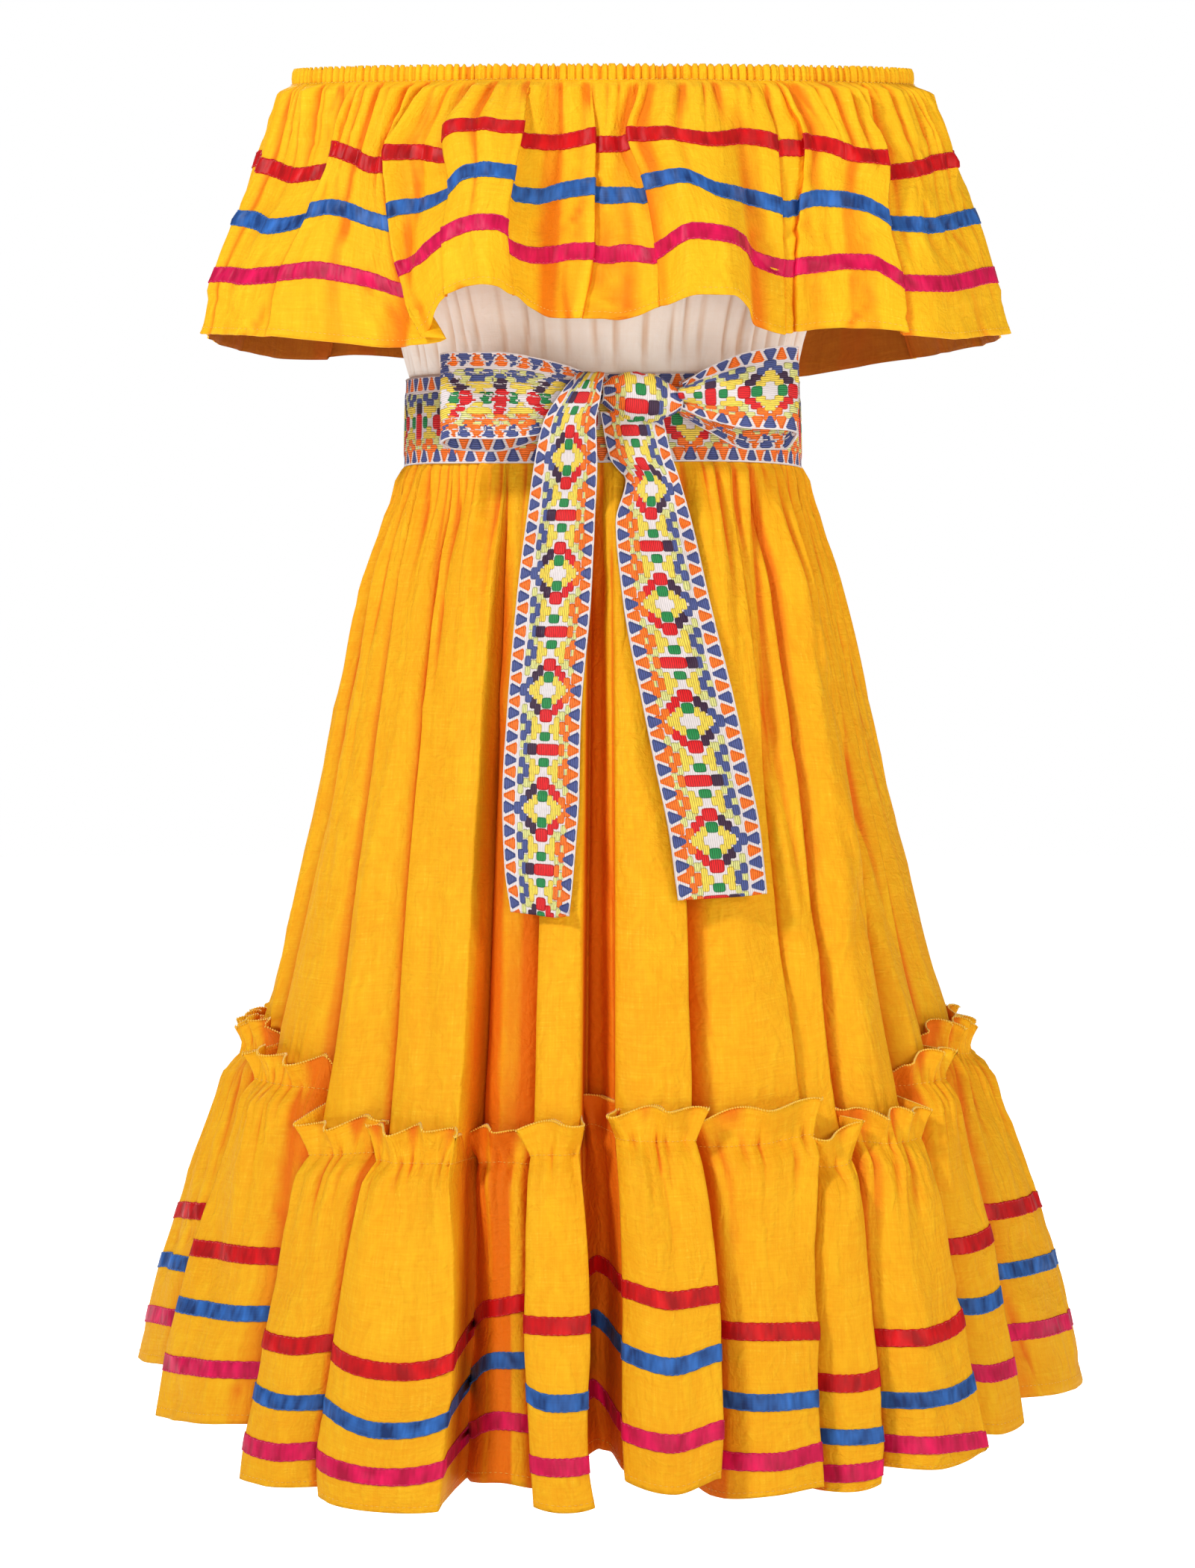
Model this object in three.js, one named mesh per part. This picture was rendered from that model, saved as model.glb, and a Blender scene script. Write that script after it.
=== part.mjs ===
// A girl's off-the-shoulder dress in crinkled cotton: an elastic neckline, a deep flounce, a plain bodice,
// a gathered skirt with a bottom tier, satin ribbons round the flounce and the tier, and a woven sash in a bow.
// The cloth stands open as it does when worn. Units are millimetres, +Z is up and -Y is the front.
// Every panel is a wall of cloth built on rows of points that run round the body.
import * as THREE from "three";

// ---- Driving dimensions ----
const CLOTH = 1.2; // wall of the gauze cotton
const RIBBON = 0.9; // wall of the satin ribbon
const RIBBON_WIDTH = 9.5;
const RIBBON_LIFT = 0.6; // clear space between a ribbon and its panel
const SASH = 1.6; // wall of the woven sash
const SASH_WIDTH = 50;
const SEAM_GAP = 0.5; // clear space between two pieces at a seam
const SIDE_GAP = 0.4; // clear space between a front and a back panel

const NECK = { halfWidth: 178, halfDepth: 96, side: -4, frontDip: 11, backDip: 4, casing: 11, wall: 3 };
const WAIST = { halfWidth: 112.6, halfDepth: 83.6, seam: -209, sashTop: -184 };
const WAIST_PULL = 18; // degrees by which the gathers fan out between the waist and the tier seam
const SKIRT_SWAY = 4; // how far the hem hangs to the wearer's left of the neckline
const FOLD_EDGE = 0.15; // how far in from its two ends a fold stands at its full depth
const HEADER = { height: 20, standOff: 7 }; // frill that stands above the tier seam

// Plan of the skirt at each height, before its folds. fold is the share of the full fold depth.
const SKIRT_LEVELS = [
  { z: -209, halfWidth: 112.6, halfDepth: 83.6, fold: 0 },
  { z: -236, halfWidth: 113.2, halfDepth: 84.2, fold: 0.04 },
  { z: -300, halfWidth: 132, halfDepth: 103, fold: 0.4 },
  { z: -450, halfWidth: 170, halfDepth: 148, fold: 0.75 },
  { z: -575, halfWidth: 205, halfDepth: 183, fold: 1 },
  { z: -640, halfWidth: 233, halfDepth: 199, fold: 1.2 },
  { z: -710, halfWidth: 256, halfDepth: 212, fold: 1.5 },
  { z: -795, halfWidth: 275, halfDepth: 224, fold: 1.8 },
];

// One row for each fold across the front, from the wearer's right side to the left.
// from and to are degrees round the body, out is how far the fold stands out at the tier seam, dip how deep the
// hollow after it goes, and the other columns are heights: the seam, the three ribbons and the hem.
const SKIRT_FOLDS = [
  { from: 9, to: 27, out: 4, dip: -5, seam: -566, red: -654, blue: -683, magenta: -714, hem: -744 },
  { from: 30, to: 46, out: 5, dip: -6, seam: -580, red: -671, blue: -700, magenta: -731, hem: -763 },
  { from: 47, to: 58, out: 6, dip: -7, seam: -608, red: -709, blue: -739, magenta: -766, hem: -784 },
  { from: 60, to: 72, out: 10, dip: -9, seam: -613, red: -719, blue: -747, magenta: -772, hem: -793 },
  { from: 74, to: 80, out: -3, dip: -6, seam: -615, red: -694, blue: -724, magenta: -757, hem: -787 },
  { from: 82, to: 89, out: 7, dip: -11, seam: -607, red: -692, blue: -729, magenta: -764, hem: -787 },
  { from: 92.5, to: 102, out: 9, dip: -9, seam: -597, red: -680, blue: -713, magenta: -751, hem: -779 },
  { from: 104, to: 116, out: 3, dip: -5, seam: -607, red: -703, blue: -737, magenta: -767, hem: -790 },
  { from: 117.5, to: 123.5, out: 5, dip: -6, seam: -615, red: -728, blue: -757, magenta: -776, hem: -788 },
  { from: 125, to: 136, out: 8, dip: -7, seam: -605, red: -706, blue: -738, magenta: -765, hem: -776 },
  { from: 138, to: 148, out: 4, dip: -5, seam: -579, red: -667, blue: -699, magenta: -734, hem: -765 },
  { from: 150, to: 160, out: 4, dip: -4, seam: -568, red: -655, blue: -687, magenta: -720, hem: -755 },
  { from: 163, to: 175, out: 4, dip: -5, seam: -566, red: -651, blue: -681, magenta: -713, hem: -744 },
];

// One row for each wave of the flounce across the front: out is how far the hem stands beyond the neckline.
const FLOUNCE_WAVES = [
  { at: 0, out: 60, red: -63, blue: -97, magenta: -129, hem: -155 },
  { at: 14, out: 62, red: -64, blue: -96, magenta: -128, hem: -158 },
  { at: 26, out: 57, red: -64, blue: -95, magenta: -128, hem: -161 },
  { at: 36, out: 57, red: -66, blue: -101, magenta: -131, hem: -162 },
  { at: 43, out: 53, red: -73, blue: -101, magenta: -128, hem: -164 },
  { at: 48.5, out: 52, red: -69, blue: -93, magenta: -131, hem: -166 },
  { at: 54, out: 50, red: -67, blue: -97, magenta: -136, hem: -169 },
  { at: 59.5, out: 48, red: -72, blue: -105, magenta: -140, hem: -173 },
  { at: 63.5, out: 62, red: -64, blue: -95, magenta: -131, hem: -166 },
  { at: 69, out: 80, red: -59, blue: -90, magenta: -116, hem: -146 },
  { at: 74.5, out: 88, red: -51, blue: -79, magenta: -110, hem: -143 },
  { at: 79, out: 68, red: -53, blue: -83, magenta: -123, hem: -149 },
  { at: 83.5, out: 42, red: -59, blue: -90, magenta: -123, hem: -158 },
  { at: 91, out: 38, red: -60, blue: -88, magenta: -124, hem: -160 },
  { at: 96.5, out: 52, red: -58, blue: -85, magenta: -123, hem: -156 },
  { at: 101.5, out: 78, red: -57, blue: -83, magenta: -114, hem: -148 },
  { at: 106.5, out: 80, red: -58, blue: -89, magenta: -116, hem: -149 },
  { at: 113, out: 46, red: -58, blue: -94, magenta: -128, hem: -165 },
  { at: 122, out: 40, red: -60, blue: -93, magenta: -130, hem: -164 },
  { at: 133, out: 44, red: -63, blue: -97, magenta: -125, hem: -161 },
  { at: 139, out: 50, red: -72, blue: -104, magenta: -136, hem: -163 },
  { at: 147, out: 54, red: -66, blue: -96, magenta: -133, hem: -166 },
  { at: 160, out: 58, red: -62, blue: -93, magenta: -129, hem: -159 },
  { at: 171, out: 61, red: -63, blue: -96, magenta: -129, hem: -157 },
];

// The flounce at each line round it: where the line lies between the neckline and the hem, and how much of the
// wave it has.
const FLOUNCE_SWELL = { shoulder: 0.24, red: 0.42, blue: 0.64, magenta: 0.84 };
const FLOUNCE_SLOPE = 0.0062; // share of the wave that is gained for each millimetre down

// Plan of the bodice at each height. spread is the half angle that a panel covers: under 90 at the open arms.
const BODICE_LEVELS = [
  { z: -17, halfWidth: 174.4, halfDepth: 92.4, spread: 42 },
  { z: -75, halfWidth: 146, halfDepth: 93, spread: 54 },
  { z: -125, halfWidth: 127, halfDepth: 91, spread: 89.6 },
  { z: -180, halfWidth: 112.6, halfDepth: 83.6, spread: 89.6 },
  { z: -208.5, halfWidth: 112.6, halfDepth: 83.6, spread: 89.6 },
];

// Plan paths of the two loops of the bow, from the knot round the end and back, with the reach of the ribbon
// above and below at each point.
const LEFT_LOOP = [
  { x: -2.5, y: -88.6, top: -188, bottom: -206 },
  { x: -32, y: -91, top: -181, bottom: -221 },
  { x: -62, y: -94, top: -178, bottom: -228 },
  { x: -83, y: -97, top: -177, bottom: -226 },
  { x: -89.5, y: -103, top: -175.5, bottom: -223 },
  { x: -84, y: -110, top: -175, bottom: -222 },
  { x: -60, y: -112, top: -175, bottom: -223 },
  { x: -32, y: -107.5, top: -180, bottom: -220 },
  { x: -2.5, y: -100, top: -188, bottom: -206 },
];
const RIGHT_LOOP = [
  { x: 43, y: -88.6, top: -191, bottom: -208 },
  { x: 58, y: -91, top: -184, bottom: -216 },
  { x: 82, y: -93, top: -177, bottom: -227 },
  { x: 101, y: -96, top: -173, bottom: -226 },
  { x: 107.5, y: -102, top: -171.5, bottom: -219 },
  { x: 101, y: -109, top: -171.5, bottom: -218 },
  { x: 80, y: -111, top: -176, bottom: -217 },
  { x: 58, y: -107, top: -184, bottom: -212 },
  { x: 43, y: -100, top: -191, bottom: -205 },
];

// Edges of the two tails at each height. lift is the space to the skirt behind.
const LEFT_TAIL = [
  { z: -190, left: -28, right: -3.5, lift: 31.5 },
  { z: -212, left: -34, right: -3.5, lift: 32 },
  { z: -236, left: -38, right: -3.3, lift: 24.5 },
  { z: -268, left: -42.6, right: -4.6, lift: 7 },
  { z: -310, left: -47.6, right: -6.6, lift: 4 },
  { z: -374, left: -52.5, right: -12, lift: 3 },
  { z: -421, left: -54.8, right: -13.4, lift: 3 },
  { z: -458, left: -53.4, right: -16, lift: 4 },
  { z: -482, left: -50, right: -18.5, lift: 5 },
];
const RIGHT_TAIL = [
  { z: -207, left: -1.5, right: 32.4, lift: 13.5 },
  { z: -232, left: 3.7, right: 38.2, lift: 14 },
  { z: -245, left: 12.5, right: 42.7, lift: 12 },
  { z: -268, left: 7, right: 49.2, lift: 7 },
  { z: -310, left: 10.7, right: 58.5, lift: 4 },
  { z: -371, left: 22, right: 73, lift: 3 },
  { z: -407, left: 29.3, right: 80, lift: 3 },
  { z: -437, left: 35.7, right: 85.5, lift: 3 },
  { z: -473, left: 40.4, right: 89, lift: 4 },
];

// Sections of the knot along its width.
const KNOT_SECTIONS = [
  { x: -2, halfHeight: 5.5, halfDepth: 4, z: -197 },
  { x: 4, halfHeight: 9.5, halfDepth: 7.5, z: -197 },
  { x: 16, halfHeight: 10.4, halfDepth: 9, z: -196.5 },
  { x: 28, halfHeight: 9.4, halfDepth: 8.5, z: -197 },
  { x: 38, halfHeight: 7.5, halfDepth: 7, z: -198.5 },
  { x: 42.5, halfHeight: 4, halfDepth: 3.5, z: -199 },
];
const KNOT_DEPTH = -98;

// ---- Small helpers ----
const RAD = Math.PI / 180;

function blend(from, to, share) {
  return from + (to - from) * share;
}

// Reads one column of a table at a position between its rows.
function readTable(rows, keyName, key, columnName) {
  const rising = rows[rows.length - 1][keyName] > rows[0][keyName];
  const value = rising ? key : -key;
  const keyOf = (row) => (rising ? row[keyName] : -row[keyName]);
  if (value <= keyOf(rows[0])) return rows[0][columnName];
  for (let i = 1; i < rows.length; i += 1) {
    const low = keyOf(rows[i - 1]);
    const high = keyOf(rows[i]);
    if (value <= high) {
      return blend(rows[i - 1][columnName], rows[i][columnName], (value - low) / (high - low));
    }
  }
  return rows[rows.length - 1][columnName];
}

// A point at an angle round the body: 0 is the wearer's right side, 90 the front, 180 the left, 270 the back.
function roundBody(angle, halfWidth, halfDepth, z) {
  return new THREE.Vector3(
    -halfWidth * Math.cos(angle * RAD),
    -halfDepth * Math.sin(angle * RAD),
    z,
  );
}

// Normals of a grid of points, one for each point, from its neighbours in the row and in the column. Where two
// faces meet at a sharp angle the normal is longer, so that the offset wall keeps its thickness.
function gridNormals(grid, ring) {
  const rows = grid.length;
  const columns = grid[0].length;
  const step = (a, b) => new THREE.Vector3().subVectors(b, a);
  return grid.map((row, r) => row.map((point, c) => {
    const before = ring ? row[(c + columns - 1) % columns] : row[Math.max(c - 1, 0)];
    const after = ring ? row[(c + 1) % columns] : row[Math.min(c + 1, columns - 1)];
    const up = grid[Math.max(r - 1, 0)][c];
    const down = grid[Math.min(r + 1, rows - 1)][c];
    const fall = step(up, down).normalize();
    const left = step(before, point).cross(fall);
    const right = step(point, after).cross(fall);
    if (left.lengthSq() < 1e-9) left.copy(right);
    if (right.lengthSq() < 1e-9) right.copy(left);
    left.normalize();
    right.normalize();
    const normal = left.clone().add(right);
    if (onSideSeam(point)) normal.y = 0;
    normal.normalize();
    const miter = 1 / Math.max(normal.dot(left), 0.45);
    return normal.multiplyScalar(-miter);
  }));
}

// At a side seam the wall's edge keeps to the plane between front and back.
function onSideSeam(point) {
  return Math.abs(point.y) < 1.5 && Math.abs(point.x) > WAIST.halfWidth / 2;
}

function offsetGrid(grid, normals, distance) {
  return grid.map((row, r) => row.map((point, c) => (
    point.clone().addScaledVector(normals[r][c], distance)
  )));
}

// One closed wall of cloth with an outer and an inner grid. A ring closes on itself round the body.
function wallGeometry(outer, inner, ring) {
  const rows = outer.length;
  const columns = outer[0].length;
  const points = [...outer.flat(), ...inner.flat()];
  const innerStart = rows * columns;
  const faces = [];
  const index = (side, r, c) => side * innerStart + r * columns + (c % columns);
  const quad = (a, b, c, d) => faces.push(a, b, c, a, c, d);
  const last = ring ? columns : columns - 1;
  for (let c = 0; c < last; c += 1) {
    for (let r = 0; r < rows - 1; r += 1) {
      quad(index(0, r, c), index(0, r + 1, c), index(0, r + 1, c + 1), index(0, r, c + 1));
      quad(index(1, r, c), index(1, r, c + 1), index(1, r + 1, c + 1), index(1, r + 1, c));
    }
    quad(index(0, 0, c), index(0, 0, c + 1), index(1, 0, c + 1), index(1, 0, c));
    quad(index(0, rows - 1, c), index(1, rows - 1, c), index(1, rows - 1, c + 1), index(0, rows - 1, c + 1));
  }
  if (!ring) {
    const end = columns - 1;
    for (let r = 0; r < rows - 1; r += 1) {
      quad(index(0, r, 0), index(1, r, 0), index(1, r + 1, 0), index(0, r + 1, 0));
      quad(index(0, r, end), index(0, r + 1, end), index(1, r + 1, end), index(1, r, end));
    }
  }
  const geometry = new THREE.BufferGeometry().setFromPoints(points);
  geometry.setIndex(faces);
  geometry.computeVertexNormals();
  return geometry;
}

const dress = new THREE.Group();
dress.name = "dress";

function addMesh(name, geometry, look) {
  const material = new THREE.MeshStandardMaterial({ side: THREE.FrontSide, ...look });
  const mesh = new THREE.Mesh(geometry, material);
  mesh.name = name;
  dress.add(mesh);
  return mesh;
}

// Adds a wall whose middle lies on the grid, moved out by lift.
function addWall(name, grid, wall, look, { lift = 0, ring = false, normals = gridNormals(grid, ring) } = {}) {
  const outer = offsetGrid(grid, normals, lift + wall / 2);
  const inner = offsetGrid(grid, normals, lift - wall / 2);
  return addMesh(name, wallGeometry(outer, inner, ring), look);
}

const LOOKS = {
  yellow: { color: 0xf2a81d, roughness: 0.85, metalness: 0 },
  cream: { color: 0xefe6cf, roughness: 0.9, metalness: 0 },
  red: { color: 0xd01f2e, roughness: 0.35, metalness: 0 },
  blue: { color: 0x2c3f9b, roughness: 0.35, metalness: 0 },
  magenta: { color: 0xd6277f, roughness: 0.35, metalness: 0 },
  woven: { color: 0xc8552b, roughness: 0.8, metalness: 0 },
};
const RIBBONS = ["red", "blue", "magenta"];
const HALVES = [{ half: "front", turn: 0 }, { half: "back", turn: 180 }];

// The back is cut like the front and turned half way round, so its folds come at other places.
function turned(points, turn) {
  if (turn === 0) return points;
  return points.map((row) => row.map((point) => new THREE.Vector3(-point.x, -point.y, point.z)));
}

// Draws the two end columns in from the side seams, along the row.
function trimEnds(grid, gap) {
  return grid.map((row) => {
    const end = row.length - 1;
    const first = row[0].clone().lerp(row[1], gap / Math.max(row[0].distanceTo(row[1]), gap));
    const last = row[end].clone().lerp(row[end - 1], gap / Math.max(row[end].distanceTo(row[end - 1]), gap));
    return [first, ...row.slice(1, end), last];
  });
}

// The ribbons stitched on a panel. Each lies between two of the panel's rows, which run along its edges.
function addRibbons(place, half, panel, firstRow) {
  const normals = gridNormals(panel, false);
  const lift = CLOTH / 2 + RIBBON_LIFT + RIBBON / 2;
  RIBBONS.forEach((colour, i) => {
    const top = firstRow + 2 * i;
    addWall(place + "_ribbon_" + colour + "_" + half, panel.slice(top, top + 2), RIBBON, LOOKS[colour], {
      lift,
      normals: normals.slice(top, top + 2),
    });
  });
}

// The heights of a ribbon's two edges, for each ribbon from the top down.
function ribbonEdges() {
  return RIBBONS.flatMap((colour) => [
    { colour, offset: RIBBON_WIDTH / 2 },
    { colour, offset: -RIBBON_WIDTH / 2 },
  ]);
}

// ---- Neckline, flounce and bodice ----
function neckTop(angle, half) {
  const dip = half === "front" ? NECK.frontDip : NECK.backDip;
  return NECK.side - dip * Math.abs(Math.sin(angle * RAD));
}

function closeTable(rows) {
  return [...rows, { ...rows[0], at: 180 }];
}

function flounceColumns(half) {
  return closeTable(FLOUNCE_WAVES).map((wave) => {
    const top = neckTop(wave.at, half) - NECK.casing - SEAM_GAP;
    const place = (z, swell) => {
      const out = wave.out * swell;
      return roundBody(wave.at, NECK.halfWidth + Math.min(out, 62 * swell), NECK.halfDepth + out, z);
    };
    return { wave, top, place };
  });
}

function addFlounce() {
  for (const { half, turn } of HALVES) {
    const columns = flounceColumns(half);
    const rows = [
      columns.map(({ top, place }) => place(top, 0.02)),
      columns.map(({ wave, top, place }) => place(top + (wave.red - top) * 0.42, FLOUNCE_SWELL.shoulder)),
      ...ribbonEdges().map(({ colour, offset }) => columns.map(({ wave, place }) => (
        place(wave[colour] + offset, FLOUNCE_SWELL[colour] - offset * FLOUNCE_SLOPE)
      ))),
      columns.map(({ wave, place }) => place(wave.hem, 1)),
    ];
    const panel = trimEnds(turned(rows, turn), SIDE_GAP / 2);
    addWall("flounce_" + half, panel, CLOTH, LOOKS.yellow);
    addRibbons("flounce", half, panel, 2);
  }
}

function addCasing() {
  const columns = 16;
  for (const { half, turn } of HALVES) {
    const row = (drop) => Array.from({ length: columns + 1 }, (_, c) => {
      const angle = (180 * c) / columns;
      return roundBody(angle, NECK.halfWidth, NECK.halfDepth, neckTop(angle, half) - drop);
    });
    const panel = trimEnds(turned([row(0), row(NECK.casing)], turn), SIDE_GAP);
    addWall("neck_casing_" + half, panel, NECK.wall, LOOKS.yellow);
  }
}

function addBodice() {
  const columns = 14;
  for (const { half, turn } of HALVES) {
    const rows = BODICE_LEVELS.map((level, index) => Array.from({ length: columns + 1 }, (_, c) => {
      const angle = 90 + level.spread * ((2 * c) / columns - 1);
      const pleat = index < BODICE_LEVELS.length - 2 && c % 2 === 1 ? 1.4 : 0;
      const top = neckTop(angle, half) - NECK.casing - SEAM_GAP;
      const z = index === 0 ? top : level.z;
      return roundBody(angle, level.halfWidth + pleat, level.halfDepth + pleat, z);
    }));
    addWall("bodice_" + half, turned(rows, turn), CLOTH, LOOKS.cream);
  }
}

// ---- Skirt and bottom tier ----
// Columns round half the skirt: the hollow before each fold, and its two edges.
function skirtColumns() {
  const columns = [];
  const average = (a, b) => {
    const mixed = {};
    for (const key of ["seam", ...RIBBONS, "hem"]) mixed[key] = (a[key] + b[key]) / 2;
    return mixed;
  };
  SKIRT_FOLDS.forEach((fold, i) => {
    const before = i === 0 ? null : SKIRT_FOLDS[i - 1];
    const wrap = SKIRT_FOLDS[SKIRT_FOLDS.length - 1];
    const gap = before ? (before.to + fold.from) / 2 : 0;
    const dip = before ? before.dip : wrap.dip;
    columns.push({ angle: gap, out: dip, ...average(before || wrap, fold) });
    const width = fold.to - fold.from;
    columns.push({ ...fold, angle: fold.from + width * FOLD_EDGE });
    columns.push({ ...fold, angle: fold.to - width * FOLD_EDGE });
  });
  columns.push({ ...columns[0], angle: 180 });
  return columns;
}

function skirtPoint(column, z) {
  const level = (name) => readTable(SKIRT_LEVELS, "z", z, name);
  const out = column.out * level("fold");
  const fan = 1 - Math.min(Math.max((z - column.seam) / (WAIST.seam - column.seam), 0), 1);
  const angle = column.angle - WAIST_PULL * Math.sin(2 * column.angle * RAD) * (1 - fan);
  return roundBody(angle, level("halfWidth") + out, level("halfDepth") + out, z);
}

// Moves a skirt panel sideways, more the lower it is.
function swayed(points) {
  return points.map((row) => row.map((point) => {
    const share = Math.max((WAIST.seam - 25 - point.z) / 560, 0);
    return new THREE.Vector3(point.x + SKIRT_SWAY * share, point.y, point.z);
  }));
}

// The skirt ends on the inside of the tier's seam line, so its last rows lie a little further in.
function moveIn(point, distance) {
  const length = Math.hypot(point.x, point.y);
  return new THREE.Vector3(
    point.x * (1 - distance / length),
    point.y * (1 - distance / length),
    point.z,
  );
}

function addSkirt() {
  const columns = skirtColumns();
  const inset = (CLOTH + SEAM_GAP) * 1.9;
  for (const { half, turn } of HALVES) {
    const rows = [WAIST.seam - SEAM_GAP, -236, -300, -430].map((z) => (
      columns.map((column) => skirtPoint(column, z))
    ));
    rows.push(columns.map((column) => moveIn(skirtPoint(column, column.seam), inset)));
    const panel = trimEnds(swayed(turned(rows, turn)), SIDE_GAP / 2);
    addWall("skirt_" + half, panel, CLOTH, LOOKS.yellow);
  }
}

function addTier() {
  const columns = skirtColumns();
  for (const { half, turn } of HALVES) {
    const header = columns.map((column, c) => {
      const flare = HEADER.standOff + (c % 2 === 0 ? 2 : 0);
      return moveIn(skirtPoint(column, column.seam + HEADER.height), -flare);
    });
    const rows = [
      header,
      columns.map((column) => skirtPoint(column, column.seam)),
      ...ribbonEdges().map(({ colour, offset }) => columns.map((column) => (
        skirtPoint(column, column[colour] + offset)
      ))),
      columns.map((column) => skirtPoint(column, column.hem)),
    ];
    const panel = trimEnds(swayed(turned(rows, turn)), SIDE_GAP / 2);
    addWall("tier_" + half, panel, CLOTH, LOOKS.yellow);
    addRibbons("tier", half, panel, 2);
  }
}

// ---- Sash ----
function addBand() {
  const columns = 32;
  const lift = 2.9;
  const row = (z) => Array.from({ length: columns }, (_, c) => (
    roundBody((360 * c) / columns, WAIST.halfWidth + lift, WAIST.halfDepth + lift, z)
  ));
  addWall("sash_band", [row(WAIST.sashTop), row(WAIST.sashTop - SASH_WIDTH)], SASH, LOOKS.woven, { ring: true });
}

function addLoop(name, path) {
  const rows = [0, 0.5, 1].map((share) => path.map((place) => {
    const bow = 1.5 * Math.sin(Math.PI * share);
    return new THREE.Vector3(place.x, place.y - bow, blend(place.top, place.bottom, share));
  }));
  addWall(name, rows, SASH, LOOKS.woven);
}

function addTail(name, rows) {
  const deepest = Math.max(...SKIRT_FOLDS.map((fold) => fold.out));
  const grid = rows.map((row) => [0, 0.5, 1].map((share) => {
    const x = blend(row.left, row.right, share);
    const out = deepest * readTable(SKIRT_LEVELS, "z", row.z, "fold") + row.lift;
    const halfWidth = readTable(SKIRT_LEVELS, "z", row.z, "halfWidth") + out;
    const halfDepth = readTable(SKIRT_LEVELS, "z", row.z, "halfDepth") + out;
    return new THREE.Vector3(x, -halfDepth * Math.sqrt(1 - (x / halfWidth) ** 2), row.z);
  }));
  addWall(name, grid, SASH, LOOKS.woven);
}

function addKnot() {
  const sides = 10;
  const rings = KNOT_SECTIONS.map((section) => Array.from({ length: sides }, (_, s) => {
    const turn = (360 * s * RAD) / sides;
    return new THREE.Vector3(
      section.x,
      KNOT_DEPTH + section.halfDepth * Math.cos(turn),
      section.z + section.halfHeight * Math.sin(turn),
    );
  }));
  const points = rings.flat();
  const faces = [];
  const last = rings.length - 1;
  for (let s = 0; s < sides; s += 1) {
    const next = (s + 1) % sides;
    for (let r = 0; r < last; r += 1) {
      const a = r * sides;
      const b = a + sides;
      faces.push(a + s, a + next, b + next, a + s, b + next, b + s);
    }
    if (s > 0 && s < sides - 1) {
      faces.push(0, s + 1, s);
      faces.push(last * sides, last * sides + s, last * sides + s + 1);
    }
  }
  const geometry = new THREE.BufferGeometry().setFromPoints(points);
  geometry.setIndex(faces);
  geometry.computeVertexNormals();
  addMesh("sash_knot", geometry, LOOKS.woven);
}

addCasing();
addFlounce();
addBodice();
addSkirt();
addTier();
addBand();
addKnot();
addLoop("sash_loop_left", LEFT_LOOP);
addLoop("sash_loop_right", RIGHT_LOOP);
addTail("sash_tail_left", LEFT_TAIL);
addTail("sash_tail_right", RIGHT_TAIL);

export default dress;
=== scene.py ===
# %% [markdown]
# # A gathered dress with a woven sash
# The dress is made of crinkled golden cotton: an elastic neckline, a deep flounce, a cream bodice and a
# gathered skirt with a ruffled bottom tier. Satin ribbons run round the flounce and the tier, and a woven
# band is tied in a bow at the waist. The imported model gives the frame: every sheet here stands in for one
# or two of its plain walls of cloth, at the same place and the same size. Rows of stitches are added to them.

# %% The frame
import math
import bpy
import numpy as np
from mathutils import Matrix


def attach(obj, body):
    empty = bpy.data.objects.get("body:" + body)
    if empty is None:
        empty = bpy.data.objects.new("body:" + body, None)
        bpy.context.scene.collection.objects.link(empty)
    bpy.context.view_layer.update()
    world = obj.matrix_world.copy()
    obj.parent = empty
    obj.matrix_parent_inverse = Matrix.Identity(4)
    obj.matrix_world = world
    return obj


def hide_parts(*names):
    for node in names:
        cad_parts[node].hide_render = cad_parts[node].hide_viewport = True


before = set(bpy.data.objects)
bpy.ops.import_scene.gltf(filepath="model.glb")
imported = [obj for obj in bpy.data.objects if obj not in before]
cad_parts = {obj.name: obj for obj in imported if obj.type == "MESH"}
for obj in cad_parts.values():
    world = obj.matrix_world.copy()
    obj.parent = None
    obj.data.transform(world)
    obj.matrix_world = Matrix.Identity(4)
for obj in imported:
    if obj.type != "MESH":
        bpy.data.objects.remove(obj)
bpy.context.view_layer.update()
print("nodes to dress:", len(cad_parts))

# %% [markdown]
# ## Camera
# A camera a little over two metres away, level with the hips and tipped slightly down, sees the neckline
# almost edge on and the hem as a curve. A long lens keeps the sides from spreading.

# %% Camera
MM = 0.001
EYE_PLACE = (-3.1, -2176.5, -330.3)
EYE_TIP = 2.2985
EYE_LENS = 85.76


def new_object(name, data):
    """Puts an object with this mesh, lamp or camera into the scene."""
    piece = bpy.data.objects.new(name, data)
    bpy.context.collection.objects.link(piece)
    return piece


eye = new_object("camera", bpy.data.cameras.new("camera"))
eye.data.lens = EYE_LENS
eye.data.sensor_width = 36
eye.location = [part * MM for part in EYE_PLACE]
eye.rotation_euler = (math.radians(90 - EYE_TIP), 0, 0)
bpy.context.scene.camera = eye
print("camera", round(eye.data.lens, 1), "mm,", round(-eye.location.y, 2), "m in front")

# %% [markdown]
# ## Tables of the form
# Gathered cloth hangs in panels: each is a gentle wave, and at its border it tucks under its neighbour or
# lies over it. So the form is a table of panels. For each line sewn on the cloth, a row gives where the
# panel starts and ends round the body in degrees (0 is the wearer's right side, 90 the front) and the
# line's heights across it in mm. The back repeats the front's rows half a turn later.

# %% Tables of the flounce
NECK = dict(half_width=178, half_depth=96, side=-4, front_dip=11, back_dip=4, casing=11)
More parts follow.
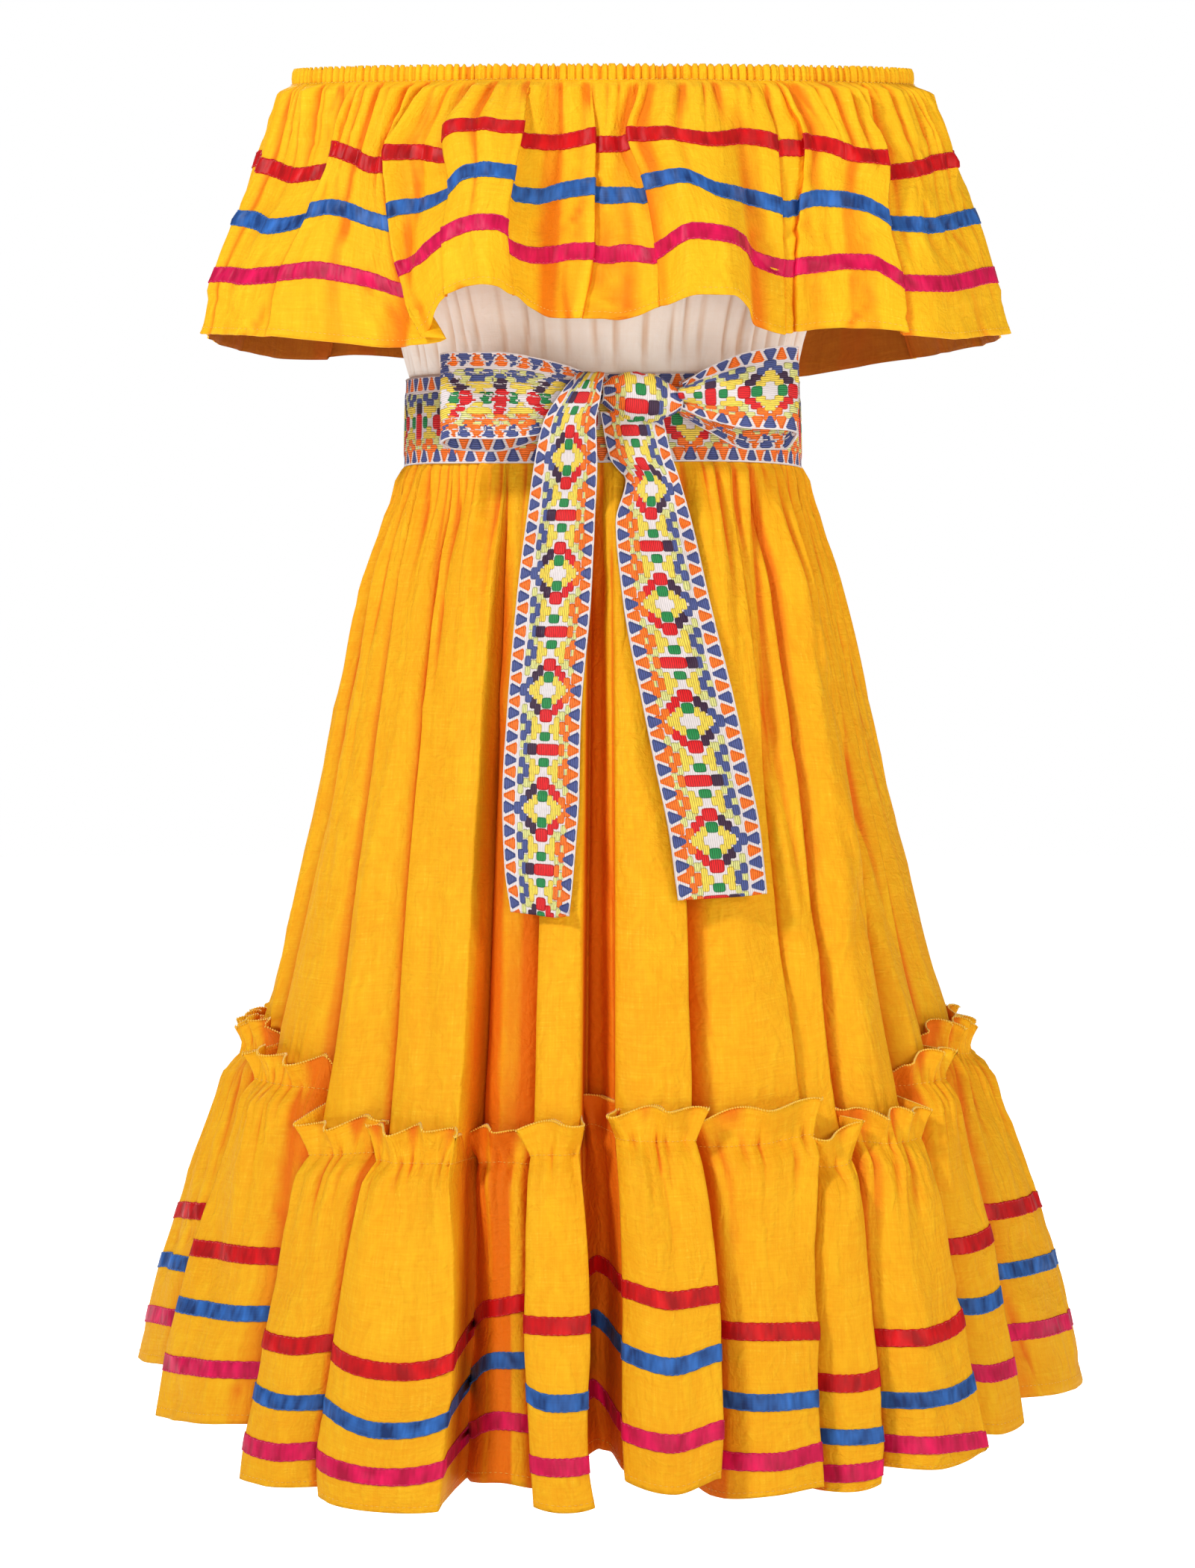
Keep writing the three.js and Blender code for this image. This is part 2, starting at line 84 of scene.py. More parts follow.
# for the red, blue and magenta ribbons and the hem: start, end and five heights
FLOUNCE_PANELS = (
    ((0, 40, -55, -59, -66, -72, -70), (0, 38.7, -89, -91, -95, -101, -98),
     (0, 35.4, -123, -125, -126, -129, -129), (2, 35.1, -156, -158, -160, -162, -164)),
    ((40.5, 53, -59, -62, -66, -70, -70), (39.1, 55.9, -95, -93, -96, -101, -104),
     (35.7, 60.5, -129, -128, -131, -136, -142), (35.3, 66, -164, -167, -170, -173, -173)),
    ((53.4, 64.8, -64, -64, -64, -66, -68), (55.8, 67.1, -98, -95, -95, -94, -90),
     (59.1, 67.5, -131, -128, -126, -121, -116), (65.9, 68.7, -170, -165, -157, -152, -149)),
    ((64.6, 78, -56, -52, -52, -54, -54), (67.3, 77.4, -88, -80, -79, -80, -81),
     (67.7, 77.1, -115, -111, -109, -109, -112), (68.9, 78.3, -148, -144, -143, -144, -148)),
    ((78, 88.8, -61, -61, -60, -58, -56), (77.2, 88.7, -92, -92, -88, -86, -85),
     (77.1, 88.5, -122, -125, -123, -121, -121), (78.4, 86.8, -148, -154, -158, -158, -158)),
    ((88.9, 93.7, -61, -61, -61, -61, -60), (88.8, 96.1, -89, -90, -90, -90, -91),
     (88.7, 97.3, -122, -123, -122, -123, -125), (86.9, 97.6, -158, -158, -159, -157, -153)),
    ((93.7, 119.7, -56, -57, -60, -56, -59), (96, 119, -84, -82, -90, -91, -95),
     (97.4, 118.3, -123, -113, -115, -125, -129), (97.7, 117.3, -153, -148, -148, -162, -166)),
    ((119.9, 124.6, -62, -61, -61, -61, -61), (119.3, 122.3, -96, -96, -96, -95, -95),
     (118.5, 120.7, -129, -129, -129, -129, -129), (117.5, 119.6, -166, -165, -165, -165, -164)),
    ((124.7, 141.7, -57, -58, -62, -64, -64), (122.6, 138.8, -92, -89, -89, -91, -99),
     (120.9, 139.2, -128, -126, -124, -124, -134), (119.8, 138.3, -164, -162, -161, -161, -163)),
    ((142, 180, -72, -68, -62, -58, -55), (139.1, 178, -101, -101, -97, -92, -89),
     (139.4, 178, -135, -134, -130, -125, -123), (138.5, 178, -164, -165, -162, -159, -156)),
)
# at each border: which side lies on top (1 the first, -1 the next), depth, cover at the four lines
FLOUNCE_BORDERS = (
    (-1, 5, 0.9, 0.6, 0.2, 0), (-1, 9, 1.8, 2.2, 2.6, 2.6), (-1, 6, 1.7, 0.8, 0.2, 0),
    (1, 6, 1.6, 1.4, 1.0, 0.3), (1, 4, 1.2, 0.8, 0, 0), (-1, 5, 1.3, 1.5, 0.5, 0),
    (1, 3, 0.8, 0.2, 0, 0), (-1, 4, 1.1, 0.7, 0, 0),
    (1, 6, 1.8, 0.7, 0.2, 0), (1, 2, 0, 0, 0, 0),
)
# place and how far the flounce stands out at its hem
FLOUNCE_OUT = (
    (0, 60), (14, 62), (26, 57), (36, 57), (43, 53), (48.5, 52), (54, 50), (59.5, 48), (63.5, 62), (69, 80),
    (74.5, 88), (79, 68), (83.5, 42), (91, 38), (96.5, 52), (101.5, 78), (106.5, 80), (113, 46), (122, 40),
    (133, 44), (139, 50), (147, 54), (160, 58), (171, 61),
)
print(len(FLOUNCE_PANELS), "panels of the flounce on each side")

# %% Tables of the skirt
WAIST_SEAM = -209
WAIST_PULL = 18
SWAY = 4
SKIRT_LEVELS = dict(
    z=(-795, -710, -640, -575, -450, -300, -236, -205),
    half_width=(275, 256, 233, 205, 170, 132, 113.2, 112.6),
    half_depth=(224, 212, 199, 183, 148, 103, 84.2, 83.6),
    fold=(1.8, 1.5, 1.2, 1.0, 0.75, 0.4, 0.04, 0),
)
# for the seam, the three ribbons and the hem: start, end and three heights
SKIRT_PANELS = (
    ((3, 18, -574, -571, -568), (5, 28.8, -664, -658, -654), (5, 27.8, -692, -686, -684),
     (5, 28.7, -723, -717, -714), (5, 28.7, -749, -744, -740)),
    ((23.9, 41, -581, -581, -582), (26.8, 47.7, -673, -671, -670), (27.6, 47.1, -703, -702, -700),
     (26.7, 46.8, -736, -733, -731), (27, 46.4, -766, -763, -760)),
    ((45.2, 57, -615, -613, -611), (46.3, 57.4, -712, -713, -710), (46.1, 57.2, -739, -742, -741),
     (45.6, 56.9, -767, -769, -767), (45.8, 57.5, -787, -787, -786)),
    ((57.9, 69.3, -614, -614, -613), (57.4, 72.8, -713, -720, -713), (57.1, 72.7, -741, -750, -742),
     (56.9, 72.5, -769, -774, -768), (57.7, 72.3, -789, -792, -790)),
    ((70, 79.2, -616, -614, -615), (72.8, 80.2, -695, -689, -686), (72.8, 80.8, -725, -716, -716),
     (72.7, 81.3, -757, -748, -751), (72.3, 81.8, -785, -781, -785)),
    ((79.6, 86.1, -608, -607, -606), (80.4, 87.8, -693, -693, -692), (81, 87.6, -727, -732, -731),
     (81.6, 87.7, -764, -765, -764), (82, 88.4, -786, -788, -786)),
    ((86.9, 90.8, -596, -597, -598), (88.3, 91.5, -669, -671, -675), (87.9, 91.4, -697, -701, -706),
     (87.7, 91.3, -736, -741, -748), (88.5, 91.5, -769, -769, -773)),
    ((91.1, 101.7, -599, -600, -600), (91.6, 102.5, -675, -680, -678), (91.5, 102.3, -707, -713, -707),
     (91.4, 102, -749, -753, -747), (91.6, 101.5, -775, -779, -772)),
    ((102.6, 119.2, -605, -604, -600), (102.5, 114.8, -699, -700, -701), (102.3, 113.7, -734, -736, -735),
     (101.7, 113.5, -767, -767, -763), (101.4, 113.4, -787, -784, -781)),
    ((118.4, 124.7, -616, -618, -614), (114, 121.7, -729, -730, -727), (113.7, 121.2, -757, -757, -756),
     (113.8, 120.7, -778, -777, -774), (113.3, 120.3, -786, -786, -782)),
    ((126.1, 138.1, -606, -608, -607), (121.9, 135.3, -709, -708, -701), (121.6, 134.8, -741, -740, -734),
     (121.1, 135.1, -764, -765, -767), (120.7, 135, -776, -777, -770)),
    ((143.2, 152.1, -582, -580, -579), (135.7, 147.5, -667, -666, -662), (135, 145.5, -697, -698, -694),
     (134.1, 144.6, -731, -734, -733), (134.6, 144.4, -765, -767, -764)),
    ((155.7, 176, -568, -571, -573), (148, 175, -654, -654, -656), (145.6, 175, -685, -686, -688),
     (144.2, 175, -718, -720, -722), (144.2, 175, -754, -757, -758)),
)
# how far each panel stands out at its start, middle and end
SKIRT_OUT = (
    (0, 5, -2), (6, 7, -2), (6, 8, 2), (7, 11, 10), (-8, -3, -6), (7, 10, 8), (-13, -11, -3), (3, 10, 9),
    (-3, 5, 6), (-3, 5, 6), (-4, 8, 8), (-4, 5, 5), (-4, 5, 1),
)
SKIRT_BORDERS = (
    (-1, 7, 0.8, 2.4, 2.4, 2.4, 2.4), (-1, 7, 0.8, 2.4, 2.4, 2.4, 2.4), (-1, 5, 0.6, 1.4, 1.4, 1.4, 1.4),
    (1, 5, 0.6, 2.2, 2.4, 2.4, 2.2), (-1, 5, 0.6, 2.0, 2.2, 2.2, 2.0), (1, 4, 0.6, 2.2, 2.2, 2.2, 2.0),
    (0, 0, 0, 0, 0, 0, 0), (1, 7, 0.8, 2.4, 2.6, 2.6, 2.4), (1, 6, 0.6, 2.0, 2.2, 2.2, 2.0),
    (1, 6, 0.6, 2.0, 2.2, 2.2, 2.0), (1, 7, 0.8, 2.4, 2.4, 2.4, 2.4), (1, 7, 0.8, 2.4, 2.4, 2.4, 2.4),
    (0, 5, 0, 0, 0, 0, 0),
)
COLOURS = ("red", "blue", "magenta")
RIBBON_WIDTH = 9.5
print(len(SKIRT_PANELS), "panels of the skirt on each side")


# %% Curves through the tables
def open_curve(knots, values, at):
    """A smooth curve through the knots that never overshoots them."""
    knots, values = np.asarray(knots, float), np.asarray(values, float)
    at = np.clip(at, knots[0], knots[-1])
    h = np.diff(knots)
    rise = np.diff(values) / h
    left, right = 2 * h[1:] + h[:-1], h[1:] + 2 * h[:-1]
    same = rise[:-1] * rise[1:] > 0
    safe = np.where(same, rise[:-1], 1.0), np.where(same, rise[1:], 1.0)
    inner = np.where(same, (left + right) / (left / safe[0] + right / safe[1]), 0.0)
    slopes = np.concatenate([[rise[0]], inner, [rise[-1]]])
    i = np.clip(np.searchsorted(knots, at, side="right") - 1, 0, len(knots) - 2)
    t = (at - knots[i]) / h[i]
    a = (1 + 2 * t) * (1 - t) ** 2 * values[i] + t * (1 - t) ** 2 * h[i] * slopes[i]
    return a + t * t * (3 - 2 * t) * values[i + 1] + t * t * (t - 1) * h[i] * slopes[i + 1]


def round_curve(knots, values, at):
    """The same curve closed round the body, with places in degrees."""
    knots, values = np.asarray(knots, float), np.asarray(values, float)
    first = knots[0]
    knots = np.concatenate([knots[-3:] - 360, knots, knots[:3] + 360])
    values = np.concatenate([values[-3:], values, values[:3]])
    return open_curve(knots, values, np.mod(at - first, 360) + first)


def between(rows, q):
    """A smooth curve down each column through rows that lie at q = 0, 1, 2 and so on."""
    last = len(rows) - 1
    low = np.clip(np.floor(q).astype(int), 0, last - 1)
    t = q - low
    a, b, c, d = (np.take_along_axis(rows, np.clip(low + i, 0, last)[None], 0)[0] for i in (-1, 0, 1, 2))
    return b + 0.5 * t * (c - a + t * (2 * a - 5 * b + 4 * c - d + t * (3 * (b - c) + d - a)))


# %% Stations from the tables
# half of the bare space at a border, in degrees
BORDER_HALF = 0.55


def stations(panels, borders, outs=None):
    """Rows of cloth place, out, flare, and for each line how far it is moved round, and its height.

    A panel gives a row at each of its heights, and each border gives one row more.
    """
    rows, count = [], len(panels[0][0]) - 2
    middle = lambda panel, k: sum(line[k] for line in panel) / len(panel)
    for i, panel in enumerate(panels):
        wrap = 180 * (i == len(panels) - 1)
        after = panels[(i + 1) % len(panels)]
        start = (middle(panel, 0) + (middle(panels[i - 1], 1) - 180 * (i == 0))) / 2 + BORDER_HALF
        end = (middle(panel, 1) + middle(after, 0) + wrap) / 2 - BORDER_HALF
        side, depth, *covers = borders[i]
        came, came_depth = borders[i - 1][:2]
        edge = [0.0] * count
        if outs:
            edge = list(outs[i])
        else:
            edge[0] = came_depth * {-1: 0.6, 0: 0, 1: -0.2}[came]
            edge[-1] = depth * {1: 0.6, 0: 0, -1: -0.2}[side]
        for k in range(count):
            share = k / (count - 1)
            place = start + (end - start) * share
            row = [place, edge[k], 2 * share - 1]
            for line in panel:
                row += [line[0] + (line[1] - line[0]) * share - place, line[2 + k]]
            rows.append(row)
        border = end + BORDER_HALF
        low = (min(edge[-1], outs[(i + 1) % len(outs)][0]) if outs else 0.6 * depth) - depth
        row = [border, low, 0]
        for line, next_line, cover in zip(panel, after, covers):
            moved = (line[1] + next_line[0] + wrap) / 2 - side * cover - border
            row += [moved, (line[-1] + next_line[2]) / 2]
        rows.append(row)
    rows = np.array(rows, float)
    back = rows.copy()
    back[:, 0] += 180
    return np.concatenate([rows, back])


FLOUNCE = stations(FLOUNCE_PANELS, FLOUNCE_BORDERS)
SKIRT = stations(SKIRT_PANELS, SKIRT_BORDERS, SKIRT_OUT)
OUT_ROUND = np.array([(place + turn, out) for turn in (0, 180) for place, out in FLOUNCE_OUT], float)
print("stations round the flounce", FLOUNCE.shape, "and the skirt", SKIRT.shape)

# %% [markdown]
# ## Gathers and creases
# A gathering thread squeezes cloth into many small ridges of uneven size that run out at uneven
# distances. Each ridge is a soft bump with its own place, width, depth and reach, and their sum is moved
# out from the surface. Creases are the same idea laid at any angle. A fixed seed keeps them the same on
# each run.


# %% Ridges
def gathers(s, total, d, spacing, seed, depth, reach, lean=0.12, tight=0.34):
    """Height of uneven ridges at s along a gathered line of length total, and d away from it, in mm."""
    rng = np.random.default_rng(seed)
    count = int(total / spacing)
    places = (np.arange(count) + rng.uniform(-0.36, 0.36, count)) * total / count
    heights = depth * rng.uniform(0.35, 1.3, count) * rng.choice([1, 1, 1, -0.7], count)
    widths = spacing * tight * rng.uniform(0.8, 1.5, count)
    reaches = reach * rng.lognormal(0, 0.5, count)
    leans = rng.normal(0, lean, count)
    d = np.maximum(d, 0)
    result = np.zeros(np.broadcast(s, d).shape)
    for place, height, width, far, side in zip(places, heights, widths, reaches, leans):
        x = np.mod(s - place - side * d + total / 2, total) - total / 2
        wide = width * (1 + 0.9 * d / far)
        result += height * np.exp(-((x / wide) ** 2) - (d / far) ** 1.6)
    return result


def pleats(s, total, d, spacing, seed, depth, reach, wander=0.02):
    """Height of rounded ridges with sharp valleys between them, s along a gathered line and d from it."""
    rng = np.random.default_rng(seed)
    count = int(total / spacing)
    gaps = rng.uniform(0.55, 1.5, count)
    ends = np.concatenate([[0], np.cumsum(gaps)]) * total / gaps.sum()
    heights = depth * rng.uniform(0.45, 1.25, count)
    reaches = reach * rng.lognormal(0, 0.45, count)
    turn = s / total * 2 * math.pi
    lean = sum(rng.normal(0, wander) * np.sin(k * turn + k) for k in (5, 9, 14, 22))
    at = np.mod(s + np.maximum(d, 0) * lean, total)
    i = np.clip(np.searchsorted(ends, at, side="right") - 1, 0, count - 1)
    share = (at - ends[i]) / (ends[i + 1] - ends[i])
    return heights[i] * np.sin(np.pi * share) ** 0.8 * np.exp(-((np.maximum(d, 0) / reaches[i]) ** 1.5))


def creases(u, v, size, seed, count, length, width, depth, slant=0.0, spread=0.5):
    """Height of soft creases at (u, v) on a panel of the given size, in mm."""
    rng = np.random.default_rng(seed)
    result = np.zeros(np.broadcast(u, v).shape)
    for _ in range(count):
        cu, cv = rng.uniform(0, size[0]), rng.uniform(0, size[1])
        turn = slant + rng.normal(0, spread)
        long, wide = length * rng.lognormal(0, 0.4), width * rng.lognormal(0, 0.35)
        high = depth * rng.uniform(-1, 1)
        bend = rng.normal(0, 0.25) / long
        du = np.mod(u - cu + size[0] / 2, size[0]) - size[0] / 2
        along = du * math.cos(turn) + (v - cv) * math.sin(turn)
        aside = -du * math.sin(turn) + (v - cv) * math.cos(turn) + bend * along**2
        result += high * np.exp(-((along / long) ** 2)) * np.exp(-((aside / wide) ** 2))
    return result


def places_round(count, rows):
    """Places round the body in degrees, closer at the front and closest at panels' borders and middles."""
    fine = np.linspace(0, 360, 7201)
    density = np.where(fine < 180, 1.25, 0.75)
    for place in rows[rows[:, 2] == 0, 0]:
        density = density + 2.2 * np.exp(-(((fine - place) / 0.9) ** 2))
    total = np.concatenate([[0], np.cumsum((density[1:] + density[:-1]) / 2)])
    return np.interp(np.linspace(0, total[-1], count, endpoint=False), total, fine)


def round_body(angle, half_width, half_depth, z):
    """Points in mm at an angle round the body: 0 the wearer's right, 90 the front, 180 the left."""
    turn = np.radians(angle)
    return np.stack(np.broadcast_arrays(-half_width * np.cos(turn), -half_depth * np.sin(turn), z), axis=-1)


print("places at the front and the left", round_body(np.array([90, 180]), 100, 80, 0).round(1).tolist())


# %% Meshes from grids
def grid_normals(p, ring=True):
    """Outward normals of a grid of points: rows down, columns round."""
    if ring:
        along = np.roll(p, -1, 1) - np.roll(p, 1, 1)
    else:
        along = np.gradient(p, axis=1)
    down = np.gradient(p, axis=0)
    n = np.cross(down, along)
    return n / np.maximum(np.linalg.norm(n, axis=-1, keepdims=True), 1e-9)


def grid_quads(rows, cols, ring):
    """The quads of a grid, the numbers of its points, and the columns at each quad's two sides."""
    index = np.arange(rows * cols).reshape(rows, cols)
    c0 = np.arange(cols if ring else cols - 1)
    c1 = (c0 + 1) % cols
    quads = np.stack([index[:-1][:, c0], index[1:][:, c0], index[1:][:, c1], index[:-1][:, c1]], -1)
    return quads, index, c0, c1


def smooth_piece(name, points, faces, uv, material):
    """A smooth piece from points in mm, with a UV map that is given in mm of cloth at each corner."""
    mesh = bpy.data.meshes.new(name)
    mesh.from_pydata((points * MM).tolist(), [], faces.tolist())
    layer = mesh.uv_layers.new(name="cloth")
    layer.data.foreach_set("uv", (uv * MM).reshape(-1).astype(np.float32))
    mesh.polygons.foreach_set("use_smooth", np.ones(len(faces), bool))
    mesh.materials.append(material)
    mesh.update()
    return new_object(name, mesh)


def mesh_from_grid(name, p, uv, ring, material):
    """A sheet of quads on a grid of points in mm."""
    rows, cols = p.shape[:2]
    quads, _, c0, _ = grid_quads(rows, cols, ring)
    corner = np.stack([c0, c0, c0 + 1, c0 + 1], -1)
    full_u = np.concatenate([uv[0], 2 * uv[0][:, -1:] - uv[0][:, -2:-1]], 1) if ring else uv[0]
    full_v = np.concatenate([uv[1], uv[1][:, :1]], 1) if ring else uv[1]
    row = np.arange(rows - 1)[:, None]
    lift = np.array([0, 1, 1, 0])
    u = full_u[row[..., None] + lift, corner[None]]
    v = full_v[row[..., None] + lift, corner[None]]
    return smooth_piece(name, p.reshape(-1, 3), quads.reshape(-1, 4), np.stack([u, v], -1), material)


def cloth_lengths(p):
    """How far round and how far down each point lies along the cloth, in mm."""
    across = np.linalg.norm(np.diff(p, axis=1), axis=-1).mean(0)
    down = np.linalg.norm(np.diff(p, axis=0), axis=-1).mean(1)
    u = np.concatenate([[0], np.cumsum(across)])[None, :] * np.ones((p.shape[0], 1))
    v = np.concatenate([[0], np.cumsum(down)])[:, None] * np.ones((1, p.shape[1]))
    return u, v


print("helpers for grids of cloth")


# %% Hollows, marked for painted shade, and walls
PAINTED_SHADE_REACHES = ((2, 1.8), (4, 2.2), (10, 2.8), (26, 3.4), (44, 2.0))


def mark_hollows(piece, p, ring=True, broad=1.0, fine=1.0):
    """Marks each point with how far it lies in a hollow between its neighbours on the row, from 0 to 1.

    Each reach is a number of columns, with its gain. The longer ones are scaled by broad, the others by fine.
    The mark is a mask for the painted shade that the cotton lays in the hollows.
    """
    cols = p.shape[1]
    flat = p[..., :2]
    out = flat / np.linalg.norm(flat, axis=-1, keepdims=True)
    total = np.zeros(p.shape[:2])
    for reach, gain in PAINTED_SHADE_REACHES:
        before, after = np.arange(cols) - reach, np.arange(cols) + reach
        before, after = (before % cols, after % cols) if ring else (before.clip(0), after.clip(0, cols - 1))
        a, b = p[:, before], p[:, after]
        bow = (((a + b) / 2 - p)[..., :2] * out).sum(-1) / (np.linalg.norm(a - b, axis=-1) + 1)
        total += gain * (broad if reach > 12 else fine) * np.clip(bow, -0.05, 0.5)
    # the mark is stored on the mesh for the cotton's painted shade in hollows
    mark = piece.data.attributes.new("painted_shade", "FLOAT", "POINT")
    mark.data.foreach_set("value", np.clip(total, 0, 1).reshape(-1).astype(np.float32))


def thicken(piece, wall, shaded_inside=None):
    """Gives a sheet its thickness, inwards from its outer face, and a darker inner face of painted shade if
    given.
    """
    solid = piece.modifiers.new("wall", "SOLIDIFY")
    if shaded_inside:
        piece.data.materials.append(shaded_inside)
        solid.material_offset = 1
    solid.thickness = wall * MM
    solid.offset = -1
    solid.use_even_offset = False
    return piece


print("hollows are measured over", [2 * reach for reach, _ in PAINTED_SHADE_REACHES], "columns")

# %% [markdown]
# ## Shader maths as expressions
# A small class wraps a socket, so that a mask or a wave can be written as an ordinary expression. The
# cotton is a plain weave with slubs: threads of uneven thickness that catch the light as fine streaks both
# ways. Its map is laid out in metres of cloth, so the threads keep one size on every panel.


# %% The socket class
class Wire:
    """A socket of a material's node tree that can be added, multiplied and mixed."""

    def __init__(self, tree, socket):
        self.tree, self.socket = tree, socket

    def node(self, kind, settings=None, **inputs):
        """Adds a node of a type, sets it up, and feeds its inputs by name or by place."""
        made = self.tree.nodes.new(kind)
        for key, value in (settings or {}).items():
            setattr(made, key, value)
        for key, value in inputs.items():
            slot = made.inputs[int(key[1:])] if key[0] == "_" else made.inputs[key.replace("_", " ")]
            if isinstance(value, Wire):
                self.tree.links.new(value.socket, slot)
            else:
                slot.default_value = value
        return made

    def out(self, made, name=0):
        return Wire(self.tree, made.outputs[name])

    def math(self, operation, *others, clamp=False):
        inputs = {"_" + str(i): x for i, x in enumerate((self,) + others)}
        return self.out(self.node("ShaderNodeMath", dict(operation=operation, use_clamp=clamp), **inputs))

    def __add__(self, other):
        return self.math("ADD", other)

    def __sub__(self, other):
        return self.math("SUBTRACT", other)

    def __rsub__(self, other):
        return self.math("MULTIPLY", -1.0).math("ADD", other)

    def __mul__(self, other):
        return self.math("MULTIPLY", other)

    def __truediv__(self, other):
        return self.math("DIVIDE", other)

    def __pow__(self, other):
        return self.math("POWER", other)

    __radd__ = __add__
    __rmul__ = __mul__

    def wave(self, period):
        """A smooth wave from 0 to 1 with this period."""
        return (self * (2 * math.pi / period)).math("SINE") * 0.5 + 0.5

    def ramp(self, low, high):
        """0 below low, 1 above high, and even between."""
        return self.out(self.node("ShaderNodeMapRange", None, Value=self, From_Min=low, From_Max=high))

    def blend(self, first, second):
        """Mixes two colours by this mask. A colour is a wire, or red, green and blue."""
        first, second = (x if isinstance(x, Wire) else (*x, 1) for x in (first, second))
        made = self.node("ShaderNodeMix", dict(data_type="RGBA"), _0=self, _6=first, _7=second)
        return self.out(made, 2)

    def noise(self, scale, detail, rough, place):
        """Noise from 0 to 1 at a place, with this many finer layers."""
        inputs = dict(Vector=place, Scale=scale, Detail=detail, Roughness=rough)
        return self.out(self.node("ShaderNodeTexNoise", None, **inputs), 0)


def new_material(name, roughness, **constants):
    """A material with its shader, and the wires of its cloth map in mm: u round, v down."""
    material = bpy.data.materials.new(name)
    material.use_nodes = True
    tree = material.node_tree
    shader = tree.nodes["Principled BSDF"]
    shader.inputs["Roughness"].default_value = roughness
    for key, value in constants.items():
        shader.inputs[key.replace("_", " ")].default_value = value
    start = Wire(tree, None)
    uv = start.out(start.node("ShaderNodeUVMap", dict(uv_map="cloth")))
    parts = start.node("ShaderNodeSeparateXYZ", None, _0=uv)
    u, v = start.out(parts, 0) * 1000.0, start.out(parts, 1) * 1000.0
    return material, shader, start, u, v


print("shader maths is written as expressions")


# %% Starting and finishing a material
def vector(u, v, w=0.0):
    """A place for a texture, from wires in mm."""
    return u.out(u.node("ShaderNodeCombineXYZ", None, X=u, Y=v, Z=w))


def finish_material(material, shader, colour, roughness, height, strength=1.0, distance=1.0):
    """Links the worked-out colour, roughness and bump to the shader. The bump's distance is in mm."""
    links = material.node_tree.links
    links.new(colour.socket, shader.inputs["Base Color"])
    if roughness:
        links.new(roughness.socket, shader.inputs["Roughness"])
    bump = height.node("ShaderNodeBump", None, Height=height, Strength=strength, Distance=distance * MM)
    links.new(bump.outputs[0], shader.inputs["Normal"])
    return material


print("a material starts from the cloth map in mm")


# %% Cotton
def cotton(name, light, deep, pale, painted_shade, roughness=0.72, sheen=0.03, crinkle=1.0):
    """Crinkled cotton, plain weave with slubs both ways: painted light on slubs, painted shade in creases and
    hollows.
    """
    material, shader, w, u, v = new_material(
        name, roughness, Sheen_Weight=sheen, Sheen_Roughness=0.4, Specular_IOR_Level=0.18
    )
    shader.inputs["Sheen Tint"].default_value = (*pale, 1)
    down = w.noise(1.0, 3.0, 0.6, vector(u * 0.9, v * 0.05))
    across = w.noise(1.0, 3.0, 0.6, vector(u * 0.045, v * 1.1))
    cloud = w.noise(1.0, 2.0, 0.5, vector(u * 0.02, v * 0.02))
    bend = (w.noise(1.0, 2.0, 0.5, vector(u * 0.035, v * 0.03)) - 0.5) * 26
    long = (w.noise(1.0, 2.0, 0.5, vector((u + bend) * 0.11, v * 0.025)) - 0.5).math("ABSOLUTE")
    short = (w.noise(1.0, 3.0, 0.6, vector((u - bend) * 0.13, (v + bend) * 0.10)) - 0.5).math("ABSOLUTE")
    cross = (w.noise(1.0, 2.0, 0.5, vector(u * 0.05, (v + bend * 0.7) * 0.2, 9.0)) - 0.5).math("ABSOLUTE")
    fold = long.ramp(0.0, 0.2) * 1.2 + short.ramp(0.0, 0.22) * 1.0 + cross.ramp(0.0, 0.2) * 0.5
    threads = u.wave(0.62) * 0.5 + v.wave(0.62) * 0.5
    slub = down * 0.5 + across * 0.5
    # painted light and shade: the tone is lighter on raised slubs and darker in the creases (fold) and,
    # faintly, between the threads; cloud is the cloth's own uneven tone
    tone = (slub - 0.5) * 1.6 + (cloud - 0.5) * 0.6 + (fold - 1.9) * 0.28 + (threads - 0.5) * 0.14 + 0.6
    tone = tone.math("MAXIMUM", 0.0).math("MINIMUM", 1.0)
    colour = tone.blend(deep, light)
    # painted highlight: the most raised slubs turn pale, as if catching the light
    colour = slub.ramp(0.58, 0.82).blend(colour, pale)
    # painted shade: by the mark stored on the mesh, the colour turns a deeper orange in the hollows between
    # folds
    painted_shade_mask = w.out(w.node("ShaderNodeAttribute", dict(attribute_name="painted_shade", attribute_type="GEOMETRY")), 2)
    colour = (painted_shade_mask * 0.85).blend(colour, painted_shade)
    rough = slub.ramp(0.3, 0.7) * -0.14 + (roughness + 0.07)
    height = threads * 0.02 + down * 0.09 + across * 0.07 + fold * (0.33 * crinkle)
    return finish_material(material, shader, colour, rough, height)


# %% The dress's cottons
# light and deep tones, for the cloth's uneven tone and the painted light and shade of slubs and creases, a
# pale for slubs that catch the light, and the colour of the painted shade in hollows
YELLOW = cotton(
    "golden_cotton", (0.94, 0.57, 0.013), (0.89, 0.44, 0.006), (0.96, 0.67, 0.06), (0.80, 0.16, 0.001)
)
# the skirt and tier's copy of the same cotton, darker and more orange than the flounce's: painted shade
YELLOW_SHADED = cotton(
    "golden_cotton_skirt_shaded", (0.91, 0.51, 0.011), (0.84, 0.36, 0.005), (0.94, 0.61, 0.05), (0.74, 0.12, 0.001)
)
# a much darker copy of the cotton for the inner faces: painted shade
SHADED_INSIDE = cotton(
    "golden_cotton_inner_shade", (0.40, 0.12, 0.003), (0.32, 0.08, 0.002), (0.46, 0.16, 0.008), (0.42, 0.08, 0.001)
)
CREAM = cotton(
    "cream_gauze", (0.98, 0.94, 0.89), (0.95, 0.88, 0.81), (0.99, 0.97, 0.95), (0.74, 0.52, 0.36),
    roughness=0.8, sheen=0.1, crinkle=0.5
)
print("cottons", [material.name for material in (YELLOW, YELLOW_SHADED, SHADED_INSIDE, CREAM)])


